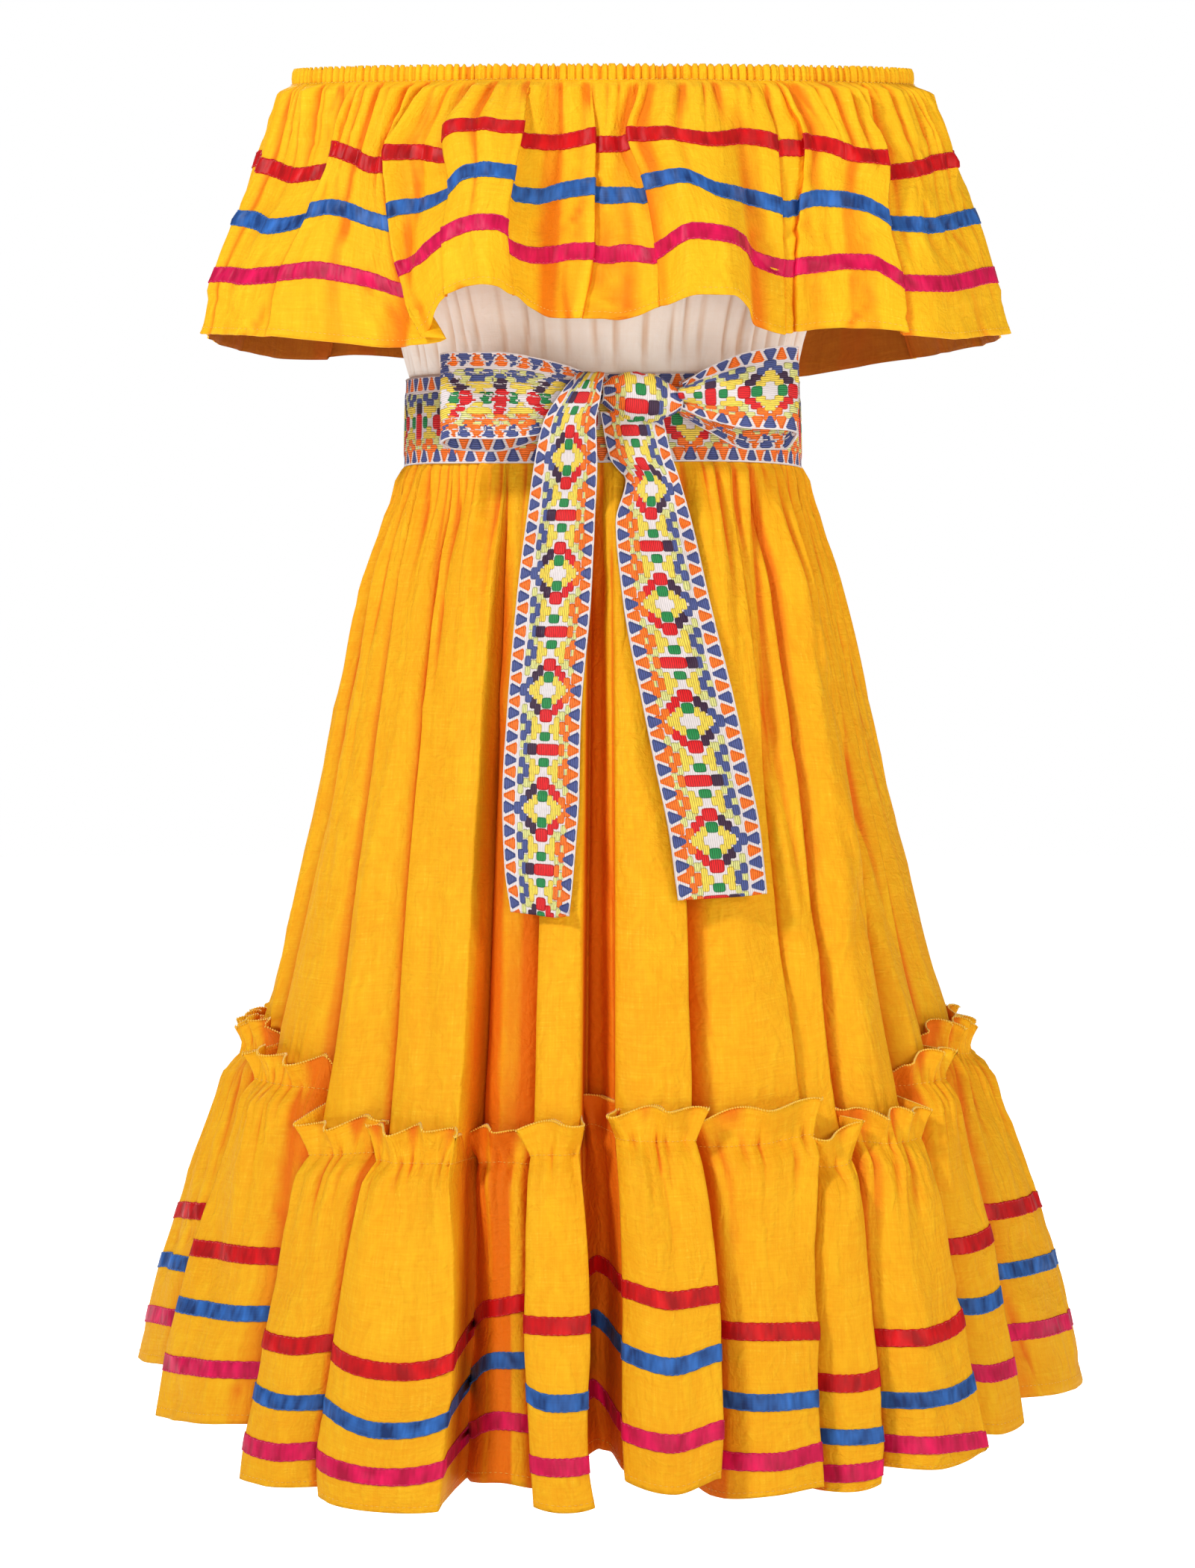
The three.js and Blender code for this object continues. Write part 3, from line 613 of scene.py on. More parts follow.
# %% Satin and thread
def satin(name, light, deep):
    """Satin ribbon: fine threads along it, soft puckers across it painted with highlight and shade, and a
    darker woven edge.
    """
    material, shader, w, u, v = new_material(name, 0.48, Sheen_Weight=0.02, Specular_IOR_Level=0.22)
    streak = w.noise(1.0, 3.0, 0.6, vector(u * 0.03, v * 2.2))
    pucker = w.noise(1.0, 2.0, 0.5, vector(u * 0.11, v * 0.05))
    tuck = w.noise(1.0, 1.0, 0.5, vector(u * 0.55, v * 0.09, 4.0))
    rib = u.wave(0.55)
    edge = (v - RIBBON_WIDTH / 2).math("ABSOLUTE").ramp(RIBBON_WIDTH / 2 - 0.9, RIBBON_WIDTH / 2 - 0.5)
    # painted highlight and shade: the puckers' height also moves the colour between deep and light
    tone = (streak * 0.4 + pucker * 2.5 + tuck * 0.6 - 1.3).math("MAXIMUM", 0.0).math("MINIMUM", 1.0)
    rim = [0.72 * part for part in light]
    colour = edge.blend(tone.blend(deep, light), rim)
    rough = streak * 0.12 + edge * 0.2 + 0.40
    height = pucker * 1.5 + tuck * 0.12 + rib * 0.015 + edge * 0.1
    return finish_material(material, shader, colour, rough, height)


# each satin goes from its deep colour, painted shade, to its light colour, painted highlight
SATIN = {
    "red": satin("red_satin", (0.74, 0.004, 0.008), (0.34, 0.002, 0.004)),
    "blue": satin("blue_satin", (0.035, 0.17, 0.58), (0.008, 0.032, 0.14)),
    "magenta": satin("magenta_satin", (0.84, 0.006, 0.11), (0.40, 0.002, 0.04)),
}


def thread(name, light, deep):
    """Sewing thread, twisted, its colour darker in the grooves of its bumps as painted shade."""
    material, shader, w, *_ = new_material(name, 0.5, Sheen_Weight=0.3)
    place = w.out(w.node("ShaderNodeTexCoord"), 3)
    twist = w.noise(1600.0, 2.0, 0.6, place)
    return finish_material(material, shader, twist.blend(deep, light), None, twist, 0.3, 0.2)


# a light and a deep colour for each thread; the deep one is painted shade in the grooves of the twist
THREAD = {
    "yellow": thread("yellow_thread", (0.98, 0.66, 0.06), (0.86, 0.46, 0.02)),
    "red": thread("red_thread", (0.78, 0.012, 0.02), (0.56, 0.005, 0.01)),
    "blue": thread("blue_thread", (0.05, 0.17, 0.55), (0.025, 0.09, 0.34)),
    "magenta": thread("magenta_thread", (0.84, 0.02, 0.16), (0.62, 0.010, 0.09)),
}
print("satin ribbon and sewing thread in", ", ".join(SATIN))

# %% [markdown]
# ## Stitches by Geometry Nodes
# Stitches repeat along a line, so a node tree lays them: it resamples the line at the stitch length,
# puts a small spindle on each point along the line, realizes them and sets the thread. The same tree
# makes the topstitching on hems, the rows along the ribbons' edges and, laid across the edge and closer
# together, the overlocked rim of the ruffle.


# %% The stitch tree
def stitch_tree():
    tree = bpy.data.node_groups.new("row_of_stitches", "GeometryNodeTree")
    face = tree.interface
    face.new_socket("Line", in_out="INPUT", socket_type="NodeSocketGeometry")
    for label, value in (("Spacing", 0.003), ("Length", 0.0021), ("Width", 0.0005), ("Turn", 0.0)):
        face.new_socket(label, in_out="INPUT", socket_type="NodeSocketFloat").default_value = value
    face.new_socket("Thread", in_out="INPUT", socket_type="NodeSocketMaterial")
    face.new_socket("Stitches", in_out="OUTPUT", socket_type="NodeSocketGeometry")
    new, link = tree.nodes.new, tree.links.new
    start, end = new("NodeGroupInput"), new("NodeGroupOutput")
    curve = new("GeometryNodeMeshToCurve")
    even = new("GeometryNodeResampleCurve")
    even.mode = "LENGTH"
    tangent = new("GeometryNodeInputTangent")
    aim = new("FunctionNodeAlignRotationToVector")
    aim.axis = "Z"
    wobble = new("FunctionNodeRandomValue")
    wobble.data_type = "FLOAT"
    spin = new("FunctionNodeRotateRotation")
    spin.rotation_space = "LOCAL"
    turn = new("ShaderNodeCombineXYZ")
    add = new("ShaderNodeMath")
    spindle = new("GeometryNodeMeshUVSphere")
    spindle.inputs["Radius"].default_value = 0.5
    spindle.inputs["Segments"].default_value = 4
    spindle.inputs["Rings"].default_value = 2
    size = new("ShaderNodeCombineXYZ")
    place = new("GeometryNodeInstanceOnPoints")
    real = new("GeometryNodeRealizeInstances")
    paint = new("GeometryNodeSetMaterial")
    link(start.outputs["Line"], curve.inputs["Mesh"])
    link(curve.outputs["Curve"], even.inputs["Curve"])
    link(start.outputs["Spacing"], even.inputs["Length"])
    link(tangent.outputs["Tangent"], aim.inputs["Vector"])
    wobble.inputs[2].default_value, wobble.inputs[3].default_value = -0.12, 0.12
    wobble.inputs["Seed"].default_value = 7
    link(start.outputs["Turn"], add.inputs[0])
    link(wobble.outputs[1], add.inputs[1])
    link(add.outputs[0], turn.inputs["X"])
    link(aim.outputs["Rotation"], spin.inputs["Rotation"])
    link(turn.outputs[0], spin.inputs["Rotate By"])
    for axis, label in (("X", "Width"), ("Y", "Width"), ("Z", "Length")):
        link(start.outputs[label], size.inputs[axis])
    link(even.outputs["Curve"], place.inputs["Points"])
    link(spindle.outputs["Mesh"], place.inputs["Instance"])
    link(spin.outputs["Rotation"], place.inputs["Rotation"])
    link(size.outputs[0], place.inputs["Scale"])
    link(place.outputs["Instances"], real.inputs["Geometry"])
    link(real.outputs["Geometry"], paint.inputs["Geometry"])
    link(start.outputs["Thread"], paint.inputs["Material"])
    link(paint.outputs["Geometry"], end.inputs["Stitches"])
    return tree


STITCHES = stitch_tree()
print("stitch tree of", len(STITCHES.nodes), "nodes")


# %% Sewing along lines
def line_mesh(name, lines):
    """Loose edges along closed rows of points in mm."""
    points, edges, start = [], [], 0
    for line in lines:
        n = len(line)
        points.extend((np.asarray(line) * MM).tolist())
        edges.extend((start + i, start + (i + 1) % n) for i in range(n))
        start += n
    mesh = bpy.data.meshes.new(name)
    mesh.from_pydata(points, edges, [])
    return new_object(name, mesh)


def grow(piece, tree, **values):
    """Runs a node tree on a piece, its inputs set by identifier, and keeps the result as a plain mesh."""
    rule = piece.modifiers.new(tree.name, "NODES")
    rule.node_group = tree
    for item in tree.interface.items_tree:
        if item.in_out == "INPUT" and item.name in values:
            rule[item.identifier] = values[item.name]
    view = bpy.context.evaluated_depsgraph_get()
    made = bpy.data.meshes.new_from_object(piece.evaluated_get(view), depsgraph=view)
    piece.modifiers.clear()
    piece.data = made
    return made


def sew(name, lines, colour, spacing, length, width, turn=0.0):
    """Rows of stitches along closed lines, with their sizes in mm."""
    piece = line_mesh(name, lines)
    sizes = dict(Spacing=spacing * MM, Length=length * MM, Width=width * MM)
    made = grow(piece, STITCHES, Turn=turn, Thread=THREAD[colour], **sizes)
    made.polygons.foreach_set("use_smooth", np.ones(len(made.polygons), bool))
    if not made.uv_layers:
        made.uv_layers.new(name="cloth")
    print(name, len(made.polygons), "faces")
    return piece


# %% [markdown]
# ## Handing a piece to the frame
# Each finished piece rides on the one body of the dress and names the plain walls that it stands for.


# %% Handing over
def hand_over(piece, slot, *nodes):
    """Ties a finished piece to the body and to the walls that it stands for. Its slot is not used."""
    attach(piece, "root")
    if nodes:
        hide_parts(*nodes)


def halves(name):
    """The names of a panel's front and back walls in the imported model."""
    return (name + "_front", name + "_back")


print("a panel such as the flounce stands for", halves("flounce"))


# %% [markdown]
# ## Flounce
# The flounce is one deep strip of cotton gathered on the neck elastic. It spreads as it falls, so its hem
# is longer than its top and swings out in waves. The lines sewn on it are known from the table, and a
# smooth curve joins them down each column. Gathers start at the casing and run out above the first
# ribbon, and a few sharper pleats run on towards the hem.


# %% Form of the flounce
FLOUNCE_SHARE = (0.02, 0.22, 0.43, 0.65, 0.85, 1.0)
FLOUNCE_DEEP = 165
NECK_ROUND = 875.0
COTTON_WALL = 0.9


def neck_top(angle):
    """Height of the neckline, which dips in front and a little behind."""
    front = np.mod(angle, 360) < 180
    dip = np.where(front, NECK["front_dip"], NECK["back_dip"])
    return NECK["side"] - dip * np.abs(np.sin(np.radians(angle)))


def flounce_surface(angle, q):
    """Points of the flounce: q is 0 at the casing, 2, 3 and 4 on the ribbons' lines and 5 at the hem."""
    column = lambda k: round_curve(FLOUNCE[:, 0], FLOUNCE[:, k], angle)
    turns, lines = [column(k) for k in (3, 5, 7, 9)], [column(k) for k in (4, 6, 8, 10)]
    top = neck_top(angle) - NECK["casing"] + 2.5
    z = between(np.stack([top, top + (lines[0] - top) * 0.42, *lines]), q)
    place = angle + between(np.stack([0 * top, 0.45 * turns[0], *turns]), q)
    share = open_curve(range(6), FLOUNCE_SHARE, q)
    out = round_curve(OUT_ROUND[:, 0], OUT_ROUND[:, 1], place) * share
    d = np.maximum(top - z, 0)
    s = angle / 360 * NECK_ROUND
    fine = pleats(s, NECK_ROUND, d, 7.2, 11, 4.6, 24)
    broad = pleats(s, NECK_ROUND, d, 14.0, 12, 6.5, 48)
    broad = broad + gathers(s, NECK_ROUND, d, 24, 15, 4.0, 70, 0.15) - 5.5
    size = (NECK_ROUND, FLOUNCE_DEEP)
    soft = creases(s, d, size, 13, 520, 14, 2.8, 1.9, 1.25, 0.8) * np.clip(d / 20, 0, 1)
    sway = creases(s, d, size, 14, 60, 60, 12, 3.2, 1.5, 0.25) * np.clip(d / 40, 0, 1)
    more = fine + broad + soft + sway + column(1) * np.clip(q / 1.8, 0, 1)
    more = more * np.clip((d - 1.2) / 4, 0, 1)
    wide = NECK["half_width"] + np.minimum(out, 62 * share) + more
    return round_body(place, wide, NECK["half_depth"] + out + more, z)


# %% Making the flounce
def rows_between(stops, counts):
    """Levels from each stop to the next, in these numbers of even steps."""
    parts = [np.linspace(a, b, n, endpoint=False) for a, b, n in zip(stops, stops[1:], counts)]
    return np.concatenate(parts + [[stops[-1]]])


def sheet_on(name, surface, angles, levels, material, shaded_inside=None, broad=1.0):
    """A thickened sheet on a surface function, and its grid."""
    grid_angle, grid_level = np.meshgrid(angles, levels)
    p = surface(grid_angle, grid_level)
    piece = mesh_from_grid(name, p, cloth_lengths(p), True, material)
    mark_hollows(piece, p, True, broad)
    return thicken(piece, COTTON_WALL, shaded_inside), p


flounce_places = places_round(900, FLOUNCE)
flounce_rows = rows_between([0, 1, 2, 3, 4, 5], [12, 9, 8, 8, 8])
flounce, flounce_grid = sheet_on(
    "flounce", flounce_surface, flounce_places, flounce_rows, YELLOW, SHADED_INSIDE, broad=0.12
)
print("flounce grid", flounce_grid.shape)

# %% Tucks of the flounce
# the wall at a tuck keeps the outer yellow on both faces, instead of the inner face's painted shade, but not
# at the hem of the back, whose inside shows
TUCK_REACH = 4
tucks = FLOUNCE[5::6, 0]
near_tuck = np.abs(np.mod(flounce_places[:, None] - tucks + 180, 360) - 180).min(1) < TUCK_REACH
at_hem = flounce_rows[:-1, None] > 3.9
same_inside = near_tuck[None] & ~(at_hem & (flounce_places > 180)[None])
flounce.data.materials.append(YELLOW)
flounce.data.polygons.foreach_set("material_index", np.where(same_inside, 2, 0).reshape(-1))
hand_over(flounce, "yellow_cotton", *halves("flounce"))
print(len(tucks), "tucks of the flounce,", int(same_inside.sum()), "faces the same on both sides")


# %% [markdown]
# ## Ribbons
# A satin ribbon is sewn flat on the cotton along both of its edges, so it takes every wave of the panel
# and lies a fraction of a millimetre proud of it. Each ribbon is made from the panel's own surface: six
# rows across its width, moved out along the surface's normal.


# %% Ribbons on a surface
RIBBON_WALL = 0.3
RIBBON_LIFT = 0.5


def ribbon_on(name, surface, a, level, material):
    """A ribbon along one level of a surface at places a. Returns the piece and its two stitch lines."""
    step = 0.02
    up, low = surface(a, np.full_like(a, level - step)), surface(a, np.full_like(a, level + step))
    pace = np.linalg.norm(low - up, axis=-1) / (2 * step)
    pace = np.convolve(np.concatenate([pace[-6:], pace, pace[:6]]), np.ones(13) / 13, "valid")
    shares = np.array([-0.5, -0.44, -0.15, 0.15, 0.44, 0.5])
    uneven = 1 + 0.035 * np.sin(np.arange(len(a)) * 1.9) * np.abs(shares[:, None] * 2) ** 3
    levels = level + shares[:, None] * uneven * RIBBON_WIDTH / pace[None]
    p = surface(np.broadcast_to(a, levels.shape), levels)
    n = grid_normals(p)
    crown = RIBBON_LIFT + 0.08 * (1 - (2 * shares[:, None, None]) ** 4)
    p = p + n * crown
    u, _ = cloth_lengths(p)
    v = (shares[:, None] + 0.5) * RIBBON_WIDTH * np.ones((1, p.shape[1]))
    piece = thicken(mesh_from_grid(name, p, (u, v), True, material), RIBBON_WALL)
    return piece, [p[1] + n[1] * 0.12, p[4] + n[4] * 0.12]


def ribbons_on(place, surface, angles, levels):
    """The three ribbons of a panel, each with its two rows of stitches."""
    for colour, level in zip(COLOURS, levels):
        name = place + "_ribbon_" + colour
        piece, lines = ribbon_on(name, surface, angles, level, SATIN[colour])
        hand_over(piece, "satin_" + colour, *halves(name))
        hand_over(sew(name + "_stitches", lines, colour, 3.2, 2.3, 0.42), "satin_" + colour)


ribbons_on("flounce", flounce_surface, flounce_places, (2.0, 3.0, 4.0))


# %% Hem stitching of the flounce
def line_on(surface, angles, level, lift):
    """A line on a surface at one level, raised by lift in mm."""
    a = np.broadcast_to(angles, (3, len(angles)))
    levels = np.array([-0.02, 0.0, 0.02])[:, None] + np.broadcast_to(level, a.shape[1:])
    p = surface(a, levels)
    return p[1] + grid_normals(p)[1] * lift


def topstitch(name, surface, angles, level, lift, *sizes):
    """A row of yellow stitches along one level of a surface."""
    hand_over(sew(name, [line_on(surface, angles, level, lift)], "yellow", *sizes), "yellow_cotton")


HEM_STITCH = (3.0, 2.2, 0.45)
topstitch("flounce_hem_stitches", flounce_surface, flounce_places, 4.84, 0.15, *HEM_STITCH)

# %% [markdown]
# ## Neck casing
# The casing is a narrow channel with elastic in it. The elastic pulls the cloth into tight upright pleats,
# so its rim looks like a row of small rounded beads. Its shape follows a rule, a flat tube swept round the
# neckline and pushed in and out by a wave of uneven pitch, so a node tree makes it.
# The tree also marks the valleys between the beads, for the cotton's painted shade.


# %% Casing tree
def casing_tree():
    tree = bpy.data.node_groups.new("gathered_casing", "GeometryNodeTree")
    face = tree.interface
    face.new_socket("Neckline", in_out="INPUT", socket_type="NodeSocketGeometry")
    for label, value in (("Height", 0.011), ("Thickness", 0.0032), ("Pitch", 0.0052), ("Depth", 0.0021)):
        face.new_socket(label, in_out="INPUT", socket_type="NodeSocketFloat").default_value = value
    face.new_socket("Cloth", in_out="INPUT", socket_type="NodeSocketMaterial")
    face.new_socket("Casing", in_out="OUTPUT", socket_type="NodeSocketGeometry")
    new, link = tree.nodes.new, tree.links.new

    def sums(operation, a, b=None, c=None):
        made = new("ShaderNodeMath")
        made.operation = operation
        for slot, value in zip(made.inputs, (a, b, c)):
            if isinstance(value, (int, float)):
                slot.default_value = value
            elif value is not None:
                link(value, slot)
        return made.outputs[0]

    start, end = new("NodeGroupInput"), new("NodeGroupOutput")
    curve = new("GeometryNodeMeshToCurve")
    even = new("GeometryNodeResampleCurve")
    even.mode = "COUNT"
    even.inputs["Count"].default_value = 2100
    level = new("GeometryNodeSetCurveNormal")
    level.mode = "Z_UP"
    along = new("GeometryNodeSplineParameter")
    keep = new("GeometryNodeCaptureAttribute")
    keep.capture_items.new("FLOAT", "Along")
    profile = new("GeometryNodeCurvePrimitiveCircle")
    profile.inputs["Resolution"].default_value = 10
    profile.inputs["Radius"].default_value = 0.5
    flat = new("GeometryNodeTransform")
    size = new("ShaderNodeCombineXYZ")
    sweep = new("GeometryNodeCurveToMesh")
    noise = new("ShaderNodeTexNoise")
    noise.noise_dimensions = "1D"
    move = new("GeometryNodeSetPosition")
    normal = new("GeometryNodeInputNormal")
    push = new("ShaderNodeVectorMath")
    push.operation = "SCALE"
    paint = new("GeometryNodeSetMaterial")
    smooth = new("GeometryNodeSetShadeSmooth")
    link(start.outputs["Neckline"], curve.inputs["Mesh"])
    link(curve.outputs[0], even.inputs["Curve"])
    link(even.outputs[0], level.inputs["Curve"])
    link(level.outputs[0], keep.inputs["Geometry"])
    link(along.outputs["Length"], keep.inputs["Along"])
    link(keep.outputs["Geometry"], sweep.inputs["Curve"])
    link(start.outputs["Thickness"], size.inputs["X"])
    link(start.outputs["Height"], size.inputs["Y"])
    size.inputs["Z"].default_value = 1
    link(profile.outputs["Curve"], flat.inputs["Geometry"])
    link(size.outputs[0], flat.inputs["Scale"])
    link(flat.outputs[0], sweep.inputs["Profile Curve"])
    place = sums("DIVIDE", keep.outputs["Along"], start.outputs["Pitch"])
    link(sums("MULTIPLY", place, 0.33), noise.inputs["W"])
    noise.inputs["Detail"].default_value = 1
    drift = sums("MULTIPLY", noise.outputs[0], 1.0)
    wave = sums("ABSOLUTE", sums("SINE", sums("MULTIPLY", sums("ADD", place, drift), math.pi)))
    # painted shade: the valleys between the beads are marked, and the cotton colours them deeper
    painted_shade_mask = sums("MULTIPLY", sums("SUBTRACT", 0.6, wave), 1.5)
    ridge = sums("SUBTRACT", wave, 0.75)
    link(sums("MULTIPLY", ridge, start.outputs["Depth"]), push.inputs["Scale"])
    link(normal.outputs[0], push.inputs[0])
    link(sweep.outputs[0], move.inputs["Geometry"])
    link(push.outputs[0], move.inputs["Offset"])
    real = new("GeometryNodeRealizeInstances")
    mark = new("GeometryNodeStoreNamedAttribute")
    mark.data_type, mark.domain = "FLOAT", "POINT"
    mark.inputs["Name"].default_value = "painted_shade"
    link(sums("MAXIMUM", painted_shade_mask, 0.0), mark.inputs["Value"])
    link(move.outputs[0], mark.inputs["Geometry"])
    link(mark.outputs[0], smooth.inputs[0])
    link(smooth.outputs[0], real.inputs[0])
    link(real.outputs[0], paint.inputs["Geometry"])
    link(start.outputs["Cloth"], paint.inputs["Material"])
    link(paint.outputs[0], end.inputs["Casing"])
    return tree


CASING = casing_tree()
print("casing tree of", len(CASING.nodes), "nodes")


# %% Making the casing
CASING_FULLNESS = 1.6


def make_casing():
    """The casing from its tree, with a cloth map that runs round it."""
    angles = np.linspace(0, 360, 240, endpoint=False)
    z = neck_top(angles) - NECK["casing"] / 2
    piece = line_mesh("neck_casing", [round_body(angles, NECK["half_width"], NECK["half_depth"], z)])
    made = grow(piece, CASING, Cloth=YELLOW, Pitch=0.0046)
    co = np.empty(len(made.vertices) * 3)
    made.vertices.foreach_get("co", co)
    co = co.reshape(-1, 3)
    loops = np.empty(len(made.loops), int)
    made.loops.foreach_get("vertex_index", loops)
    around = np.arctan2(-co[:, 1], -co[:, 0]) / (2 * math.pi) * NECK_ROUND * MM * CASING_FULLNESS
    uv = np.stack([around[loops], co[loops, 2]], -1)
    layer = made.uv_layers.get("cloth") or made.uv_layers.new(name="cloth")
    layer.data.foreach_set("uv", uv.reshape(-1).astype(np.float32))
    print("casing", len(made.polygons), "faces")
    return piece


hand_over(make_casing(), "yellow_cotton", *halves("neck_casing"))
topstitch("casing_stitches", flounce_surface, flounce_places, 0.08, 0.5, 2.8, 1.9, 0.45)

# %% [markdown]
# ## Bodice
# The bodice is thin cream gauze, gathered softly between the neck and the waist. Front and back meet at
# the sides below the arms and part above them. Only a band of it shows, between the flounce and the sash.

# %% Bodice
BODICE_LEVELS = dict(
    z=(-210, -180, -125, -75, -17),
    half_width=(112.6, 112.6, 127, 146, 174.4),
    half_depth=(83.6, 83.6, 91, 93, 92.4),
    spread=(89.6, 89.6, 89.6, 54, 42),
)
BODICE_CUT = 340
GAUZE_WALL = 0.7


def bodice_half(side, turn, seed):
    """The front or back of the bodice, turned round the body, with folds from this seed."""
    shares, z = np.meshgrid(np.linspace(-1, 1, 200), np.linspace(-17, -208, 26))
    spread = np.interp(z, BODICE_LEVELS["z"], BODICE_LEVELS["spread"])
    angle = 90 + shares * spread
    top = neck_top(angle + turn) - NECK["casing"] - 0.5
    place_z = np.where(z > -40, z + (top + 17) * (z + 40) / 23, z)
    s = (shares + 1) * BODICE_CUT / 2
    rise = np.clip((-z - 170) / 40, 0, 1)
    folds = pleats(s, BODICE_CUT, 186 + z, 12.0, seed, 3.9, 110, 0.03) - 1.2
    folds += gathers(s, BODICE_CUT, -17 - z, 11.0, seed + 1, 1.2, 80, 0.05) * (1 - rise)
    folds += creases(s, -z, (BODICE_CUT, 208), seed + 2, 70, 26, 3.0, 0.6, 1.5, 0.3)
    folds = np.clip(folds, -2.0, 4.2) * np.clip((z + 186) / 20, 0.05, 1)
    folds = folds - 1.3 * np.clip((-176 - z) / 8, 0, 1)
    wide = open_curve(BODICE_LEVELS["z"], BODICE_LEVELS["half_width"], z) + folds
    deep = open_curve(BODICE_LEVELS["z"], BODICE_LEVELS["half_depth"], z) + folds
    p = round_body(angle + turn, wide, deep, place_z)
    piece = mesh_from_grid("gauze_" + side, p, cloth_lengths(p), False, CREAM)
    mark_hollows(piece, p, False, 0.3, 1.6)
    thicken(piece, GAUZE_WALL)
    hand_over(piece, "cream_gauze", "bodice_" + side)
    print(side, "half of the bodice, grid", p.shape)


bodice_half("front", 0, 21)
bodice_half("back", 180, 25)

# %% [markdown]
# ## Skirt
# The skirt is a wide tube gathered into the waist. Close under the sash it is all small ridges, and
# further down these open into long soft folds that grow towards the seam with the tier. The folds come
# from the table, and the small ridges are added to them.

# %% Form of the skirt
SEAM_ROUND = 1300.0
WAIST_ROUND = 620.0
SKIRT_LONG = 340
# how much further folds go in, and stand out, than the table says
FOLD_IN = 2.1
FOLD_OUT = 1.25


def skirt_columns(angle):
    """Out, flare, then the moves round and the heights of the five lines, at places on the cloth."""
    column = lambda k: round_curve(SKIRT[:, 0], SKIRT[:, k], angle)
    turns, lines = ([column(k) for k in range(first, first + 10, 2)] for first in (3, 4))
    return column(1), column(2), turns, lines


def skirt_plan(place, z, out, seam, more):
    """Points of the skirt or tier at places round it and heights z, with folds and any further height."""
    names = ("half_width", "half_depth", "fold")
    level = {name: open_curve(SKIRT_LEVELS["z"], SKIRT_LEVELS[name], z) for name in names}
    fan = np.clip((z - seam) / (WAIST_SEAM - seam), 0, 1)
    turned = place - WAIST_PULL * np.sin(np.radians(2 * place)) * fan
    out = out * level["fold"] + more
    p = round_body(turned, level["half_width"] + out, level["half_depth"] + out, z)
    p[..., 0] += SWAY * np.maximum((WAIST_SEAM - 25 - z) / 560, 0)
    return p


def skirt_surface(angle, q):
    """Points of the upper skirt: q is 0 at the waist and 1 at the tier seam."""
    out, _, turns, lines = skirt_columns(angle)
    seam = lines[0]
    z = WAIST_SEAM - 2 + (seam - 3 - WAIST_SEAM + 2) * q
    d = WAIST_SEAM - 24 - z
    left = z - seam
    s, t = angle / 360 * WAIST_ROUND, angle / 360 * SEAM_ROUND
    free = np.clip(d / 30, 0, 1)
    fine = pleats(s, WAIST_ROUND, d, 7.0, 31, 5.2, 58, 0.004) * np.clip((d + 3) / 9, 0, 1)
    broad = pleats(s, WAIST_ROUND, d, 14, 32, 6.8, 95, 0.01)
    broad = broad + gathers(s, WAIST_ROUND, d, 25, 36, 5.2, 210, 0.02, 0.24)
    broad = (broad - 3.5) * free
    low = pleats(t, SEAM_ROUND, left, 11, 33, 3.4, 18, 0.03) * np.clip(left / 6, 0, 1)
    size = (SEAM_ROUND, SKIRT_LONG)
    long = creases(t, d, size, 34, 110, 110, 9, 4.2, 1.57, 0.05) * free
    small = creases(t, d, size, 35, 420, 18, 3.0, 0.9, 1.2, 0.8) * free
    more = fine + broad + low + long + small - 3.4 * np.clip(1 - left / 30, 0, 1)
    sewn = np.clip(1 - (left + 3) / 7, 0, 1)
    more = more * (1 - sewn) - 1.0 * sewn
    place = angle + turns[0] * np.clip(q, 0, 1) ** 1.5
    deep = np.where(out < 0, out * FOLD_IN, out * FOLD_OUT)
    return skirt_plan(place, z, deep, seam, np.where(d < 0, -1.0, more))


skirt_places = places_round(820, SKIRT)
skirt_rows = np.linspace(0, 1, 45) ** 1.25
skirt, skirt_grid = sheet_on(
    "skirt", skirt_surface, skirt_places, skirt_rows, YELLOW_SHADED, SHADED_INSIDE, broad=1.4
)
hand_over(skirt, "yellow_cotton", *halves("skirt"))
print("skirt grid", skirt_grid.shape)

# %% [markdown]
# ## Bottom tier
# The tier is a longer strip, gathered a thumb's width below its overlocked top edge and sewn on with that
# edge showing, so a small frill stands above the seam. Below the seam the cloth puffs out at once and
# falls in deep flutes to the hem. One surface gives all of it: negative levels are the frill.


# %% Form of the tier
TIER_LONG = 220


